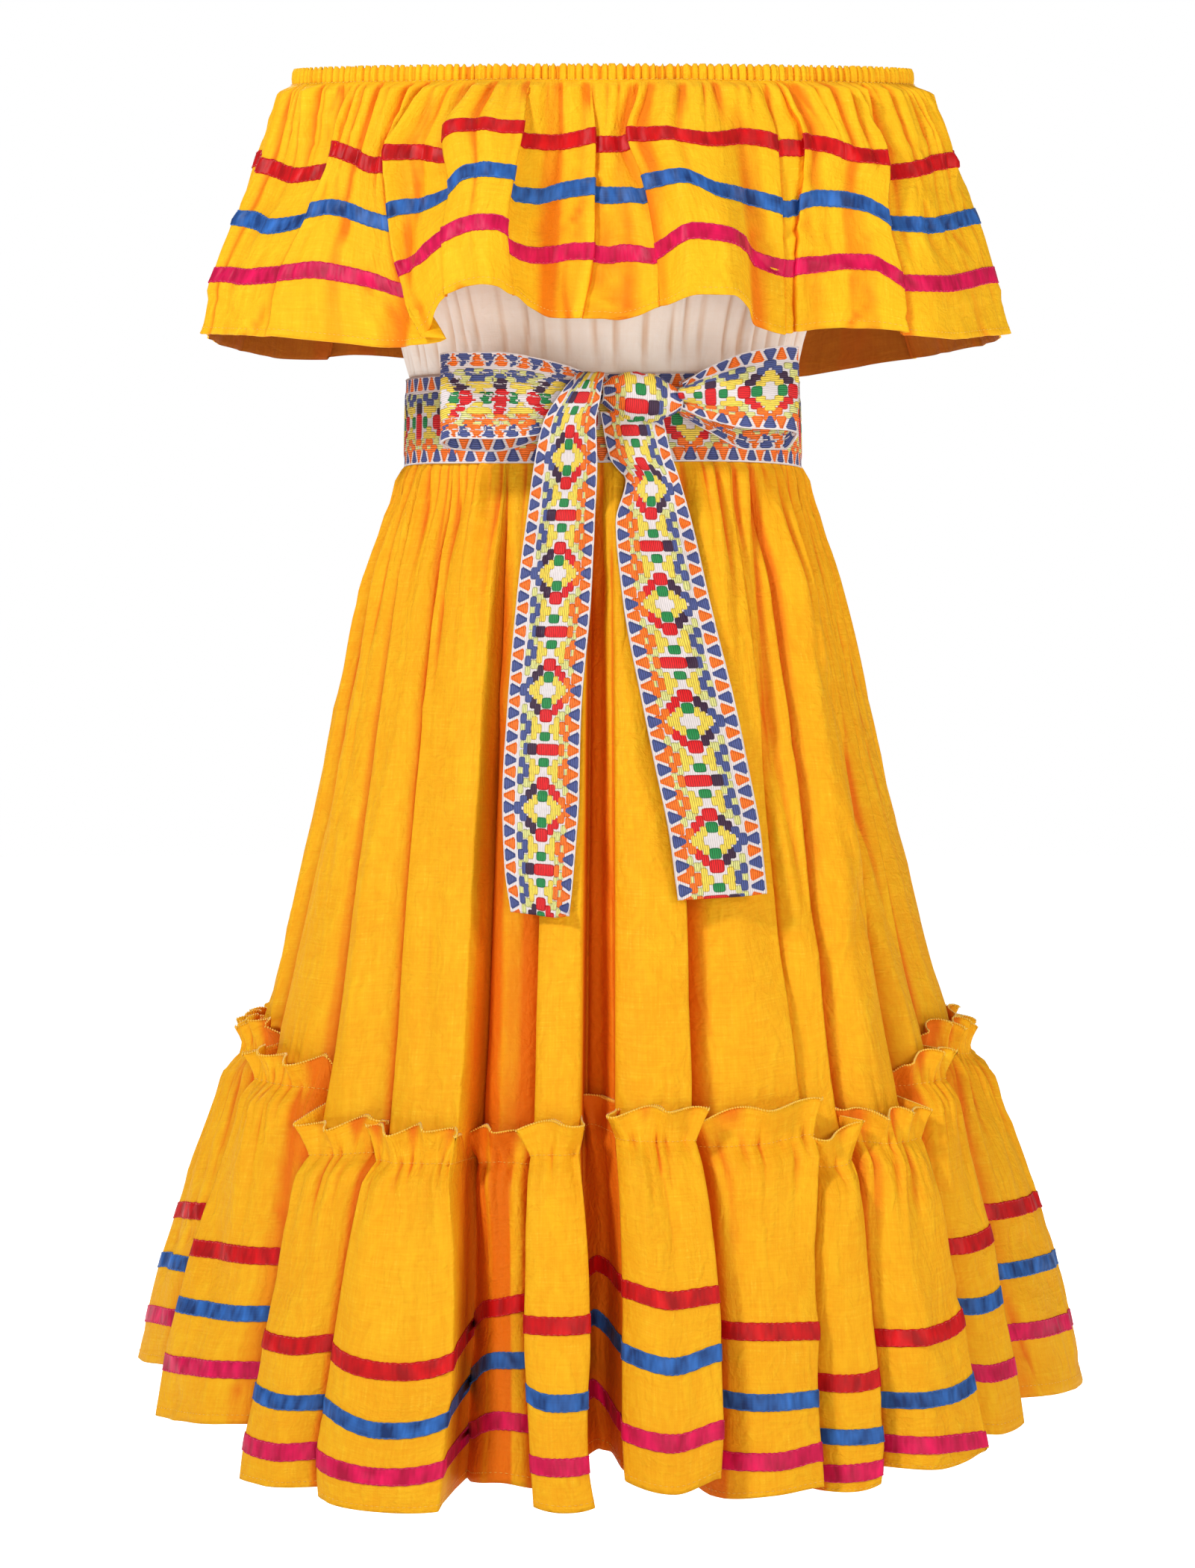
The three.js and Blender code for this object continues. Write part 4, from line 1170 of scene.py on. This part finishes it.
def tier_surface(angle, q):
    """Points of the tier: q is -1 on the frill's rim, 0 at the seam, 1 to 3 on the ribbons, 4 at the hem."""
    out, flare, turns, lines = skirt_columns(angle)
    s = angle / 360 * SEAM_ROUND
    down = np.maximum(q, 0)
    ease = np.where(down < 1, 1 - np.maximum(1 - down, 0) ** 1.7, down)
    frill = np.maximum(-q, 0)
    turn = s / 3.1 + 2.0 * np.sin(s / 41) + 0.9 * np.sin(s / 15 + 1)
    rim = 17.5 + 1.8 * np.sin(turn / 2 + 1) + 1.9 * np.sin(turn + 2.4) + 1.5 * np.sin(s / 29)
    z = between(np.stack(lines), down) + frill * rim
    place = angle + between(np.stack(turns), ease) + flare * np.abs(flare) * 1.3 * frill
    place = place + frill**1.4 * 0.42 * np.cos(turn + 0.4)
    d = lines[0] - z
    below = np.maximum(d, 0)
    fine = pleats(s, SEAM_ROUND, np.abs(d), 6.6, 42, 4.0, 18) * (1 - 0.75 * np.minimum(frill * 1.5, 1))
    broad = pleats(s, SEAM_ROUND, below, 14, 43, 4.2, 34, 0.04)
    broad = broad + gathers(s, SEAM_ROUND, below, 27, 46, 4.2, 85, 0.1)
    broad = broad * np.clip(below / 10, 0, 1)
    puff = 6.5 * (1 - np.exp(-below / 14)) * np.exp(-below / 120)
    size = (SEAM_ROUND, TIER_LONG)
    soft = creases(s, below, size, 44, 520, 17, 3.2, 1.5, 1.2, 0.8) * np.clip(below / 25, 0, 1)
    long = creases(s, below, size, 45, 70, 80, 11, 3.6, 1.5, 0.16) * np.clip(below / 40, 0, 1)
    wave = 4.4 * np.sin(turn)
    more = fine + broad + puff + soft + long
    more = more + frill * 6.5 + frill**1.2 * (wave + 2.0)
    deep = np.where(out < 0, out * (FOLD_IN - 0.1 * np.clip(down, 0, 1)), out * FOLD_OUT)
    return skirt_plan(place, z, deep, lines[0], more)


tier_places = places_round(1080, SKIRT)
tier_rows = rows_between([-1, 0, 0.35, 1, 2, 3, 4], [6, 7, 9, 6, 6, 6])
tier, tier_grid = sheet_on("tier", tier_surface, tier_places, tier_rows, YELLOW_SHADED, broad=1.3)
hand_over(tier, "yellow_cotton", *halves("tier"))
print("tier grid", tier_grid.shape)

# %% Ribbons and stitching of the tier
ribbons_on("tier", tier_surface, tier_places, (1.0, 2.0, 3.0))
topstitch("tier_hem_stitches", tier_surface, tier_places, 3.76, 0.15, *HEM_STITCH)
topstitch("tier_seam_stitches", tier_surface, tier_places, -0.04, 0.2, 2.6, 1.9, 0.45)
topstitch("frill_overlock", tier_surface, tier_places, -0.99, -0.3, 1.5, 3.2, 1.3, math.radians(55))

# %% [markdown]
# ## The woven band
# The sash is a jacquard band: coloured threads float over a white ground in small rounded bundles, and
# where they aren't needed they cross on the reverse, which therefore shows the same figure smeared. A
# stepped diamond alternates with a short bar, with flowers and knots between and a row of interlocking
# triangles along each edge. This is an ordinary geometric figure, and it is charted here as a weaver
# would: one row for each bundle in a quarter of the repeat. The left half turns orange and red into blue
# and purple.

# %% The chart
WHITE, BLUE, ORANGE = (0.67, 0.62, 0.64), (0.060, 0.085, 0.27), (0.93, 0.165, 0.008)
RED, GREEN, GOLD = (0.68, 0.006, 0.012), (0.010, 0.23, 0.060), (0.84, 0.62, 0.075)
LIME, PLUM = (0.66, 0.66, 0.24), (0.040, 0.012, 0.045)
REPEAT = 64.3
SASH_WIDTH = 50.0
TOOTH = REPEAT / 5
CHART_MIDDLE = 1.4
# colour on the warm side and on the cool side, then for each bundle: how far from the middle, how far from
# the bar, and half sizes. Later bundles lie on earlier ones.
CHART = (
    (LIME, LIME, (14.4, 2.4, 1.8, 2.0), (10.8, 5.4, 1.8, 2.2), (15.2, 11.8, 1.7, 2.3), (11.0, 18.3, 1.9, 2.6),
     (14.6, 21.9, 1.9, 2.6), (7.9, 19.2, 1.6, 1.8)),
    (ORANGE, BLUE, (14.2, 7.3, 2.2, 2.8), (11.2, 11.8, 2.1, 3.6), (14.9, 16.4, 2.2, 2.9)),
    (GOLD, GOLD, (4.5, 11.2, 2.2, 2.6), (7.4, 7.6, 2.0, 2.5), (7.4, 15.0, 2.0, 2.7), (7.6, 11.3, 1.9, 2.0)),
    (RED, PLUM, (5.9, 21.7, 2.2, 3.1), (9.1, 25.0, 2.2, 3.1)),
    (ORANGE, BLUE, (12.5, 28.2, 2.3, 3.1), (16.2, 32.15, 2.5, 3.4)),
    (GOLD, GOLD, (4.7, 27.2, 1.9, 2.7), (7.3, 29.8, 2.0, 2.7), (10.2, 32.15, 2.1, 2.9)),
    (RED, RED, (0.0, 18.3, 4.2, 3.6)),
    (GREEN, GREEN, (0.0, 7.0, 3.5, 2.5), (0.0, 25.1, 3.4, 3.0)),
)
BUNDLES = [(*bundle, warm, cool) for warm, cool, *bundles in CHART for bundle in bundles]
# start and end across the band, and colour, of the pieces of the bar
BAR = ((-13.8, -10.8, BLUE), (-11.1, -4.8, PLUM), (-5.0, 9.6, RED), (9.4, 13.2, ORANGE))
print("chart of", len(BUNDLES), "bundles and a bar, one repeat every", REPEAT, "mm")

# %% [markdown]
# ## Finish of the band
# The material draws the chart from the strip's own map, so the bundles keep crisp rounded edges at any
# distance. Each bundle is a small cushion of strands that run along the band, and the ground between is a
# fine white twill. On the reverse, lanes of thread are shifted along the band and white catching stitches
# cross them.


# %% Material of the band
def band_material():
    """The woven band's finish. Its attribute right is 1 on the right side of the weave, 0 on the reverse."""
    material, shader, w, u, v = new_material("woven_band", 0.5, Specular_IOR_Level=0.4)
    right = w.out(w.node("ShaderNodeAttribute", dict(attribute_name="right", attribute_type="GEOMETRY")), 2)
    lane = (v * 0.9).math("FLOOR")
    shift = (w.noise(1.0, 0.0, 0.5, vector(lane * 1.7, (u * 0.22).math("FLOOR"))) - 0.5) * 9.0
    frayed = u + shift * (1 - right)
    across = v - CHART_MIDDLE
    warm = across.math("GREATER_THAN", 0.0)
    far = across.math("ABSOLUTE")
    along = frayed.math("PINGPONG", REPEAT / 2)
    rough_edge = (v.wave(0.7) - 0.5) * 0.35
    raised = v * 0.0
    colour = raised.blend(WHITE, WHITE)

    def lay(colour, raised, left, gain, warm_yarn, cool_yarn):
        """Lays a bundle where left is above 0, and rounds it up from its edge by the gain."""
        yarn = warm.blend(cool_yarn, warm_yarn) if warm_yarn != cool_yarn else warm_yarn
        height = (left * gain).math("MINIMUM", 1.0)
        return left.math("GREATER_THAN", 0.0).blend(colour, yarn), raised.math("MAXIMUM", height)

    for near, place, half_a, half_b, warm_yarn, cool_yarn in BUNDLES:
        x, y = (far - near) / half_a, (along - place + rough_edge) / half_b
        x, y = x * x, y * y
        left = 1 - (x * x + y * y)
        colour, raised = lay(colour, raised, left, 2.2, warm_yarn, cool_yarn)
    for start, end, yarn in BAR:
        x, y = (across - (start + end) / 2) / ((end - start) / 2), (along + rough_edge) / 3.2
        x, y = x * x, y * y
        left = 1 - (x * x * x + y * y * y)
        colour, raised = lay(colour, raised, left, 2.2, yarn, yarn)
    inward = (24.1 - v.math("ABSOLUTE")) / 7.4
    held = inward.math("GREATER_THAN", 0.0) * (1 - inward.math("GREATER_THAN", 1.0))
    blue_far = (frayed - REPEAT / 2).math("PINGPONG", TOOTH / 2) + rough_edge
    teeth = (
        (blue_far, 0.9 + (1 - inward) * 3.2 - (0.14 - inward).math("MAXIMUM", 0.0) * 12.0, BLUE),
        (TOOTH / 2 - blue_far, 0.9 + inward * 3.0 - (inward - 0.86).math("MAXIMUM", 0.0) * 12.0, ORANGE),
    )
    for far_from, reach, yarn in teeth:
        left = (reach - far_from) * held
        colour, raised = lay(colour, raised, left, 0.9, yarn, yarn)
    catch = v.math("PINGPONG", 3.3).math("LESS_THAN", 0.42)
    catch = catch * (u + lane * 2.3).math("PINGPONG", 3.2).math("LESS_THAN", 1.7) * (1 - right)
    colour = catch.blend(colour, WHITE)
    strands = (v + (u * 0.11).math("SINE") * 0.2).wave(1.2)
    wisp = w.noise(1.0, 2.0, 0.6, vector(u * 0.35, v * 2.2))
    ground = (u + v).wave(0.85) * 0.5 + (u - v).wave(0.85) * 0.5
    # painted shade: the colour darkens between the strands and in the twill's grooves, where the bump is low;
    # wisp is the yarn's own uneven tone
    shade = (wisp * 1.1 + strands * 0.75 + 0.02) * (raised * 0.55 + 0.45)
    shade = (shade + (1 - raised) * (ground * 0.2 + 0.5)).math("MINIMUM", 1.3)
    dark = w.node("ShaderNodeMix", dict(data_type="RGBA", blend_type="MULTIPLY"), _0=1.0, _6=colour)
    grey = w.node("ShaderNodeCombineColor", None, Red=shade, Green=shade, Blue=shade)
    material.node_tree.links.new(grey.outputs[0], dark.inputs[7])
    height = raised * 0.6 + raised * strands * 0.11 + ground * 0.03 + catch * 0.15
    rough = 0.62 - raised * strands * 0.2
    return finish_material(material, shader, w.out(dark, 2), rough, height)


BAND = band_material()
print("band material with", len(BAND.node_tree.nodes), "nodes")


# %% Relief of the band
def relief(a, b):
    """How high the bundles stand at a across and b along the band, from 0 to 1."""
    far, along = np.abs(a - CHART_MIDDLE), np.abs(np.mod(b + REPEAT / 2, REPEAT) - REPEAT / 2)
    high = np.zeros(np.broadcast(a, b).shape)
    for near, place, half_a, half_b, _, _ in BUNDLES:
        left = 1 - ((far - near) / half_a) ** 4 - ((along - place) / half_b) ** 4
        high = np.maximum(high, np.clip(left * 2, 0, 1))
    bar = (np.abs(along) < 3.0) & (np.abs(a - 1.1) < 13)
    return np.maximum(high, np.where(bar, 1.0, 0.0))


diamond = np.array(18.3)
print("the diamond's middle stands", float(relief(np.array(CHART_MIDDLE), diamond)), "of the full height")


# %% Strips of the band
BAND_WALL = 1.1
HIGH_BUNDLE, LOW_BUNDLE = 0.45, 0.15


def band_strip(name, node, p, a, b, face_out=True, wall=BAND_WALL, closed=False):
    """A strip of woven band as a closed wall: rows of p run across it, columns along it, in mm."""
    n = grid_normals(p, closed)
    rows, cols = p.shape[:2]
    high = relief(a[:, None], b[None, :])[..., None]
    roll = 0.3 * np.exp(-(((np.abs(a) - SASH_WIDTH / 2) / 0.8) ** 2))[:, None, None]
    raise_top, raise_low = (HIGH_BUNDLE, LOW_BUNDLE) if face_out else (LOW_BUNDLE, HIGH_BUNDLE)
    top = p + n * (wall / 2 + raise_top * high + roll)
    low = p - n * (wall / 2 + raise_low * high + roll)
    points = np.concatenate([top.reshape(-1, 3), low.reshape(-1, 3)])
    base = rows * cols
    quads, index, c0, c1 = grid_quads(rows, cols, closed)
    faces = [quads.reshape(-1, 4), (quads[..., ::-1] + base).reshape(-1, 4)]
    rims = [(index[0, c0], index[0, c1]), (index[-1, c1], index[-1, c0])]
    if not closed:
        r = np.arange(rows - 1)
        rims += [(index[r + 1, 0], index[r, 0]), (index[r, -1], index[r + 1, -1])]
    faces += [np.stack([one, other, other + base, one + base], -1) for one, other in rims]
    right = np.ones(sum(len(f) for f in faces))
    half = len(faces[0])
    right[half if face_out else 0 : 2 * half if face_out else half] = 0
    faces = np.concatenate(faces)
    place = np.stack(np.broadcast_arrays(b[None, :], a[:, None]), -1).reshape(-1, 2)
    corner = np.concatenate([place, place])[faces].copy()
    if closed:
        turn = b[-1] + (b[1] - b[0]) - b[0]
        wraps = (corner[..., 0].max(1) - corner[..., 0].min(1)) > turn / 2
        corner[wraps, :, 0] += np.where(corner[wraps, :, 0] < b.mean(), turn, 0)
    piece = smooth_piece(name, points, faces, corner, BAND)
    face_side = piece.data.attributes.new("right", "FLOAT", "CORNER")
    face_side.data.foreach_set("value", np.repeat(right.astype(np.float32), 4))
    hand_over(piece, "woven_sash", node)
    print(name, len(faces), "faces")


ACROSS = np.concatenate([[-25, -24.4], np.linspace(-23.4, 23.4, 37), [24.4, 25]])
SHARES = (ACROSS + SASH_WIDTH / 2) / SASH_WIDTH
ALONG_STEP = 1.3


def along_path(knots, table):
    """Places every step along a path of these knots, and the table's columns there."""
    at = np.linspace(0, knots[-1], int(knots[-1] / ALONG_STEP) + 1)
    return at, [open_curve(knots, column, at) for column in table.T]


print("strips of band, every", round(ACROSS[3] - ACROSS[2], 2), "mm across")

# %% [markdown]
# ## Sash and bow
# The band goes once round the waist. In front it is tied in a bow with two loops and two long tails. The
# left loop is turned so that it shows the reverse of the weave, as happens when a flat band is tied.

# %% Band round the waist
WAIST_BAND = dict(half_width=114.2, half_depth=85.2, top=-184, girth=635.0)


def waist_band():
    """The band laid round the waist, leaning out a little at its lower edge."""
    count = 320
    angle = np.linspace(0, 360, count, endpoint=False)[None]
    share = SHARES[::2, None]
    z = WAIST_BAND["top"] - SASH_WIDTH * share + 0.8 * np.sin(np.radians(angle * 3 + 40))
    wave = 0.5 * np.sin(np.radians(angle * 7)) * np.sin(np.pi * share)
    lean = 1.2 * (share - 0.5)
    half_width, half_depth = (WAIST_BAND[name] + wave + lean for name in ("half_width", "half_depth"))
    p = round_body(angle + 0 * share, half_width, half_depth, z)
    b = np.arange(count) * WAIST_BAND["girth"] / count
    band_strip("band_round_waist", "sash_band", p, ACROSS[::2], b + 22, closed=True)


waist_band()

# %% Loops
# plan places, top edge and bottom edge, from the knot round and back to it
LEFT_LOOP = np.array([
    (-2.5, -88.8, -188, -206), (-32, -91, -181, -221), (-62, -94, -178, -229), (-83, -97, -177, -228),
    (-89.5, -103, -175.5, -225), (-84, -110, -175, -222.5), (-60, -112, -175, -223),
    (-32, -107.5, -179, -220), (-2.5, -100, -187, -207),
])
RIGHT_LOOP = np.array([
    (43, -88.8, -191, -208), (58, -91, -184, -217), (82, -93, -177, -228), (101, -96, -173, -228),
    (107.5, -102, -171.5, -220), (101, -109, -171.5, -218), (80, -111, -175, -217), (58, -107, -183, -212),
    (43, -100, -191, -205),
])


def loop(name, rows, start, face_out):
    """A loop of the bow, pinched at the knot, where the band folds lengthwise."""
    knots = np.concatenate([[0], np.cumsum(np.linalg.norm(np.diff(rows[:, :2], axis=0), axis=1))])
    at, (x, y, top, bottom) = along_path(knots, rows)
    share = SHARES[:, None]
    z = top[None] + (bottom - top)[None] * share
    p = np.stack([x[None] + 0 * z, y[None] - 1.5 * np.sin(np.pi * share) + 0 * z, z], -1)
    pinch = 1 - np.clip((p[..., 2].max(0) - p[..., 2].min(0)) / 46, 0, 1)
    from_middle = np.clip(np.abs(at[None] - at.mean()) / at.mean(), 0, 1)
    fold = 4.2 * pinch[None] * np.sin(share * 9.0 + 0.6) * from_middle
    p = p + grid_normals(p, False) * fold[..., None]
    band_strip("bow_" + name, "sash_" + name, p, ACROSS, start + at, face_out)


loop("loop_left", LEFT_LOOP[::-1], 9, True)
loop("loop_right", RIGHT_LOOP, 10, False)

# %% Where the skirt's front lies
def skirt_front(x, z):
    """The foremost place of the skirt near each (x, z), in mm, from a map in cells of 4 mm."""
    side, depth, height = (skirt_grid[..., k] for k in range(3))
    near = skirt_grid[(depth < 0) & (np.abs(side) < 120) & (height > -500)]
    bins = np.full((60, 80), 0.0)
    i = np.clip(((near[:, 0] + 120) / 4).astype(int), 0, 59)
    k = np.clip(((near[:, 2] + 510) / 4).astype(int), 0, 79)
    np.minimum.at(bins, (i, k), near[:, 1])
    wide = bins.copy()
    for di in (-1, 0, 1):
        for dk in (-2, -1, 0, 1, 2):
            wide = np.minimum(wide, np.roll(bins, (di, dk), (0, 1)))
    steps = (-2, -1, 0, 1, 2)
    smooth = sum(np.roll(wide, (di, dk), (0, 1)) for di in steps for dk in steps) / 25
    wide = np.minimum(smooth, wide + 1.0)
    fx, fz = np.clip((x + 118) / 4, 0, 58.99), np.clip((z + 508) / 4, 0, 78.99)
    i, k = fx.astype(int), fz.astype(int)
    tx, tz = fx - i, fz - k
    low = wide[i, k] * (1 - tz) + wide[i, k + 1] * tz
    high = wide[i + 1, k] * (1 - tz) + wide[i + 1, k + 1] * tz
    return low * (1 - tx) + high * tx


print("skirt front at the middle", round(float(skirt_front(np.array([0.0]), np.array([-350.0]))[0]), 1))

# %% Tails
# height, left edge, right edge, space to the skirt, how far the right edge lies behind the left
LEFT_TAIL = np.array([
    (-186.5, -13, 1, 27, 0), (-193, -19, -0.5, 32, 0), (-200, -24.5, -1.5, 33, 1),
    (-213, -32.5, -4, 32, 2), (-236, -38, -3.3, 24.5, 3), (-268, -42.6, -4.6, 7, 2),
    (-310, -47.6, -6.6, 4, 0), (-374, -52.5, -12, 3, -2), (-421, -54.8, -13.4, 3, 2),
    (-458, -53.4, -16, 4, 3), (-482, -50, -18.5, 5, 2),
])
RIGHT_TAIL = np.array([
    (-207, -1.5, 32.4, 13.5, 0), (-232, 3.7, 38.2, 14, -6), (-245, 12.5, 42.7, 12, -12),
    (-268, 7, 49.2, 7, -5), (-310, 10.7, 58.5, 4, 0), (-371, 22, 73, 3, 1),
    (-407, 29.3, 80, 3, 2), (-437, 35.7, 85.5, 3, 0), (-473, 40.4, 89, 4, -2),
])


def tail(name, rows, start, side, slant, corner):
    """A hanging end of the sash, on the skirt's folds. side is 1, or -1 with the chart mirrored."""
    knots = np.concatenate([[0], np.cumsum(np.abs(np.diff(rows[:, 0])))])
    at, (z, left, right, lift, tilt) = along_path(knots, rows)
    share = SHARES[:, None]
    x = left[None] + (right - left)[None] * share
    zz = z[None] + slant * (share - 0.5) * (at / at[-1])[None] ** 3
    deep = 10 * open_curve(SKIRT_LEVELS["z"], SKIRT_LEVELS["fold"], zz) + lift[None]
    wide_r = open_curve(SKIRT_LEVELS["z"], SKIRT_LEVELS["half_width"], zz) + deep
    deep_r = open_curve(SKIRT_LEVELS["z"], SKIRT_LEVELS["half_depth"], zz) + deep
    y = -deep_r * np.sqrt(1 - (x / wide_r) ** 2) + tilt[None] * (share - 0.5)
    y = y - 1.6 * np.sin(at / 31.0 + 1.0)[None] * np.sin(np.pi * share) - 0.8 * np.sin(at / 13.0)[None]
    y = np.minimum(y, skirt_front(x, np.minimum(zz, -240.0)) - 1.6 - 0.9 * np.sin(at / 17.0)[None] ** 2)
    p = np.stack([x, y, zz], -1)
    end = np.clip((at - at[-1] + 9) / 9, 0, 1)[None] ** 2 * np.clip((share - 0.75) * 4, 0, 1) * corner
    p[..., 1] -= end * 6
    p[..., 2] += end * 3
    band_strip("bow_" + name, "sash_" + name, p, ACROSS * side, start + at, False)


tail("tail_left", LEFT_TAIL, REPEAT - 14.0, 1, -4, 1.0)
tail("tail_right", RIGHT_TAIL, REPEAT - 10.5, -1, 2, 0.4)


# %% Knot
KNOT_GIRTH = 56.0


def knot():
    """The wrap of the knot: the band passes over it, drawn into lengthwise creases."""
    count = 72
    turn = np.linspace(0, 2 * math.pi, count, endpoint=False)[None]
    share = SHARES[::2, None]
    x = -1.5 + 44.5 * share + 1.5 * np.sin(turn)
    body = np.sin(np.pi * np.clip(share, 0.04, 0.96)) ** 0.45
    crease = 0.9 * np.sin(share * 21 + 0.8 * np.sin(turn)) + 0.5 * np.sin(share * 43 + 1)
    tall, deep = (13.0 + crease * 0.5) * body, (8.4 + crease) * body
    z = -199.0 + 4.4 * (0.5 - share) + tall * np.cos(turn)
    y = -98 - deep * np.sin(turn)
    p = np.stack([x + 0 * z, y, z], -1)
    b = np.arange(count) * KNOT_GIRTH / count
    band_strip("bow_knot", "sash_knot", p, -ACROSS[::2], b + 46, False, 0.8, True)


knot()

# %% [markdown]
# ## The sheets
# Every sheet of cloth is made above. Stitches go with the panel that they hold.


print("every sheet is made")

# %% [markdown]
# ## Floor and light
# The dress hangs as worn, above a plain white floor in a white room. The main light stands high, left of the
# front, and gives the folds their shape. Weaker ones, at the right and low in front, keep the shadows warm,
# a dim one hangs above, and one stands behind for the back.


# %% Stage
POOL = dict(y=-0.62, dark=0.72, bright=0.96)
FLOOR = dict(sides=96, reach=9.0, level=-0.99)


def make_floor():
    """A wide white disc. It glows, so that it stays white, but for a plain round patch under the dress."""
    turn = np.linspace(0, 2 * math.pi, FLOOR["sides"], endpoint=False)
    reach, level = FLOOR["reach"], FLOOR["level"]
    rim = [(reach * math.cos(a), reach * math.sin(a), level) for a in turn]
    mesh = bpy.data.meshes.new("floor")
    mesh.from_pydata(rim, [], [tuple(range(len(rim)))])
    white = bpy.data.materials.new("floor")
    white.use_nodes = True
    shader = white.node_tree.nodes["Principled BSDF"]
    shader.inputs["Base Color"].default_value = (0.85, 0.85, 0.85, 1)
    shader.inputs["Roughness"].default_value = 0.9
    shader.inputs["Emission Strength"].default_value = 0.95
    w = Wire(white.node_tree, None)
    parts = w.node("ShaderNodeSeparateXYZ", None, _0=w.out(w.node("ShaderNodeTexCoord"), 3))
    x, y = w.out(parts, 0), w.out(parts, 1) - POOL["y"]
    glow = ((x * x + y * y) ** 0.5).ramp(POOL["dark"], POOL["bright"])
    grey = glow.node("ShaderNodeCombineColor", None, Red=glow, Green=glow, Blue=glow)
    white.node_tree.links.new(grey.outputs[0], shader.inputs["Emission Color"])
    mesh.materials.append(white)
    new_object("floor", mesh)


def soft_light(name, place, aim, size, power, colour=(1, 1, 1)):
    """A round lamp at a place, turned to its aim, with its size in metres and its power in watts."""
    lamp = bpy.data.lights.new(name, "AREA")
    lamp.shape, lamp.size, lamp.energy, lamp.color = "DISK", size, power, colour
    piece = new_object(name, lamp)
    piece.location = place
    direction = np.array(aim) - np.array(place)
    flat = math.hypot(direction[0], direction[1])
    piece.rotation_euler = (math.atan2(flat, -direction[2]), 0, math.atan2(-direction[0], direction[1]))


make_floor()
soft_light("key", (-1.6, -1.7, 1.35), (0, 0, -0.3), 0.5, 44)
soft_light("right", (2.1, -1.6, 0.5), (0, 0, -0.3), 0.8, 20, (1, 0.92, 0.8))
soft_light("low", (0.3, -2.3, -0.35), (0, 0, -0.2), 0.7, 11, (1, 0.94, 0.86))
soft_light("top", (0.2, 0.1, 1.9), (0, 0, -0.4), 1.2, 8)
soft_light("behind", (-0.9, 2.2, 1.5), (0, 0, -0.4), 0.9, 36, (1, 0.97, 0.92))
print("floor at", FLOOR["level"], "m, and lamps", [lamp.name for lamp in bpy.data.lights])

# %% White room
# the camera sees plain white, and the dress is lit by a dimmer, warmer white
world = bpy.data.worlds.new("white_room")
bpy.context.scene.world = world
world.use_nodes = True
room = Wire(world.node_tree, None)
seen = room.out(room.node("ShaderNodeLightPath"), "Is Camera Ray")
felt = room.out(room.node("ShaderNodeBackground", None, Color=(1, 0.93, 0.84, 1), Strength=0.14))
white = room.out(room.node("ShaderNodeBackground", None, Color=(1, 1, 1, 1), Strength=1.0))
mixed = room.out(room.node("ShaderNodeMixShader", None, _0=seen, _1=felt, _2=white))
world.node_tree.links.new(mixed.socket, world.node_tree.nodes["World Output"].inputs["Surface"])
bpy.context.scene.view_settings.view_transform = "Standard"
print("a white room")
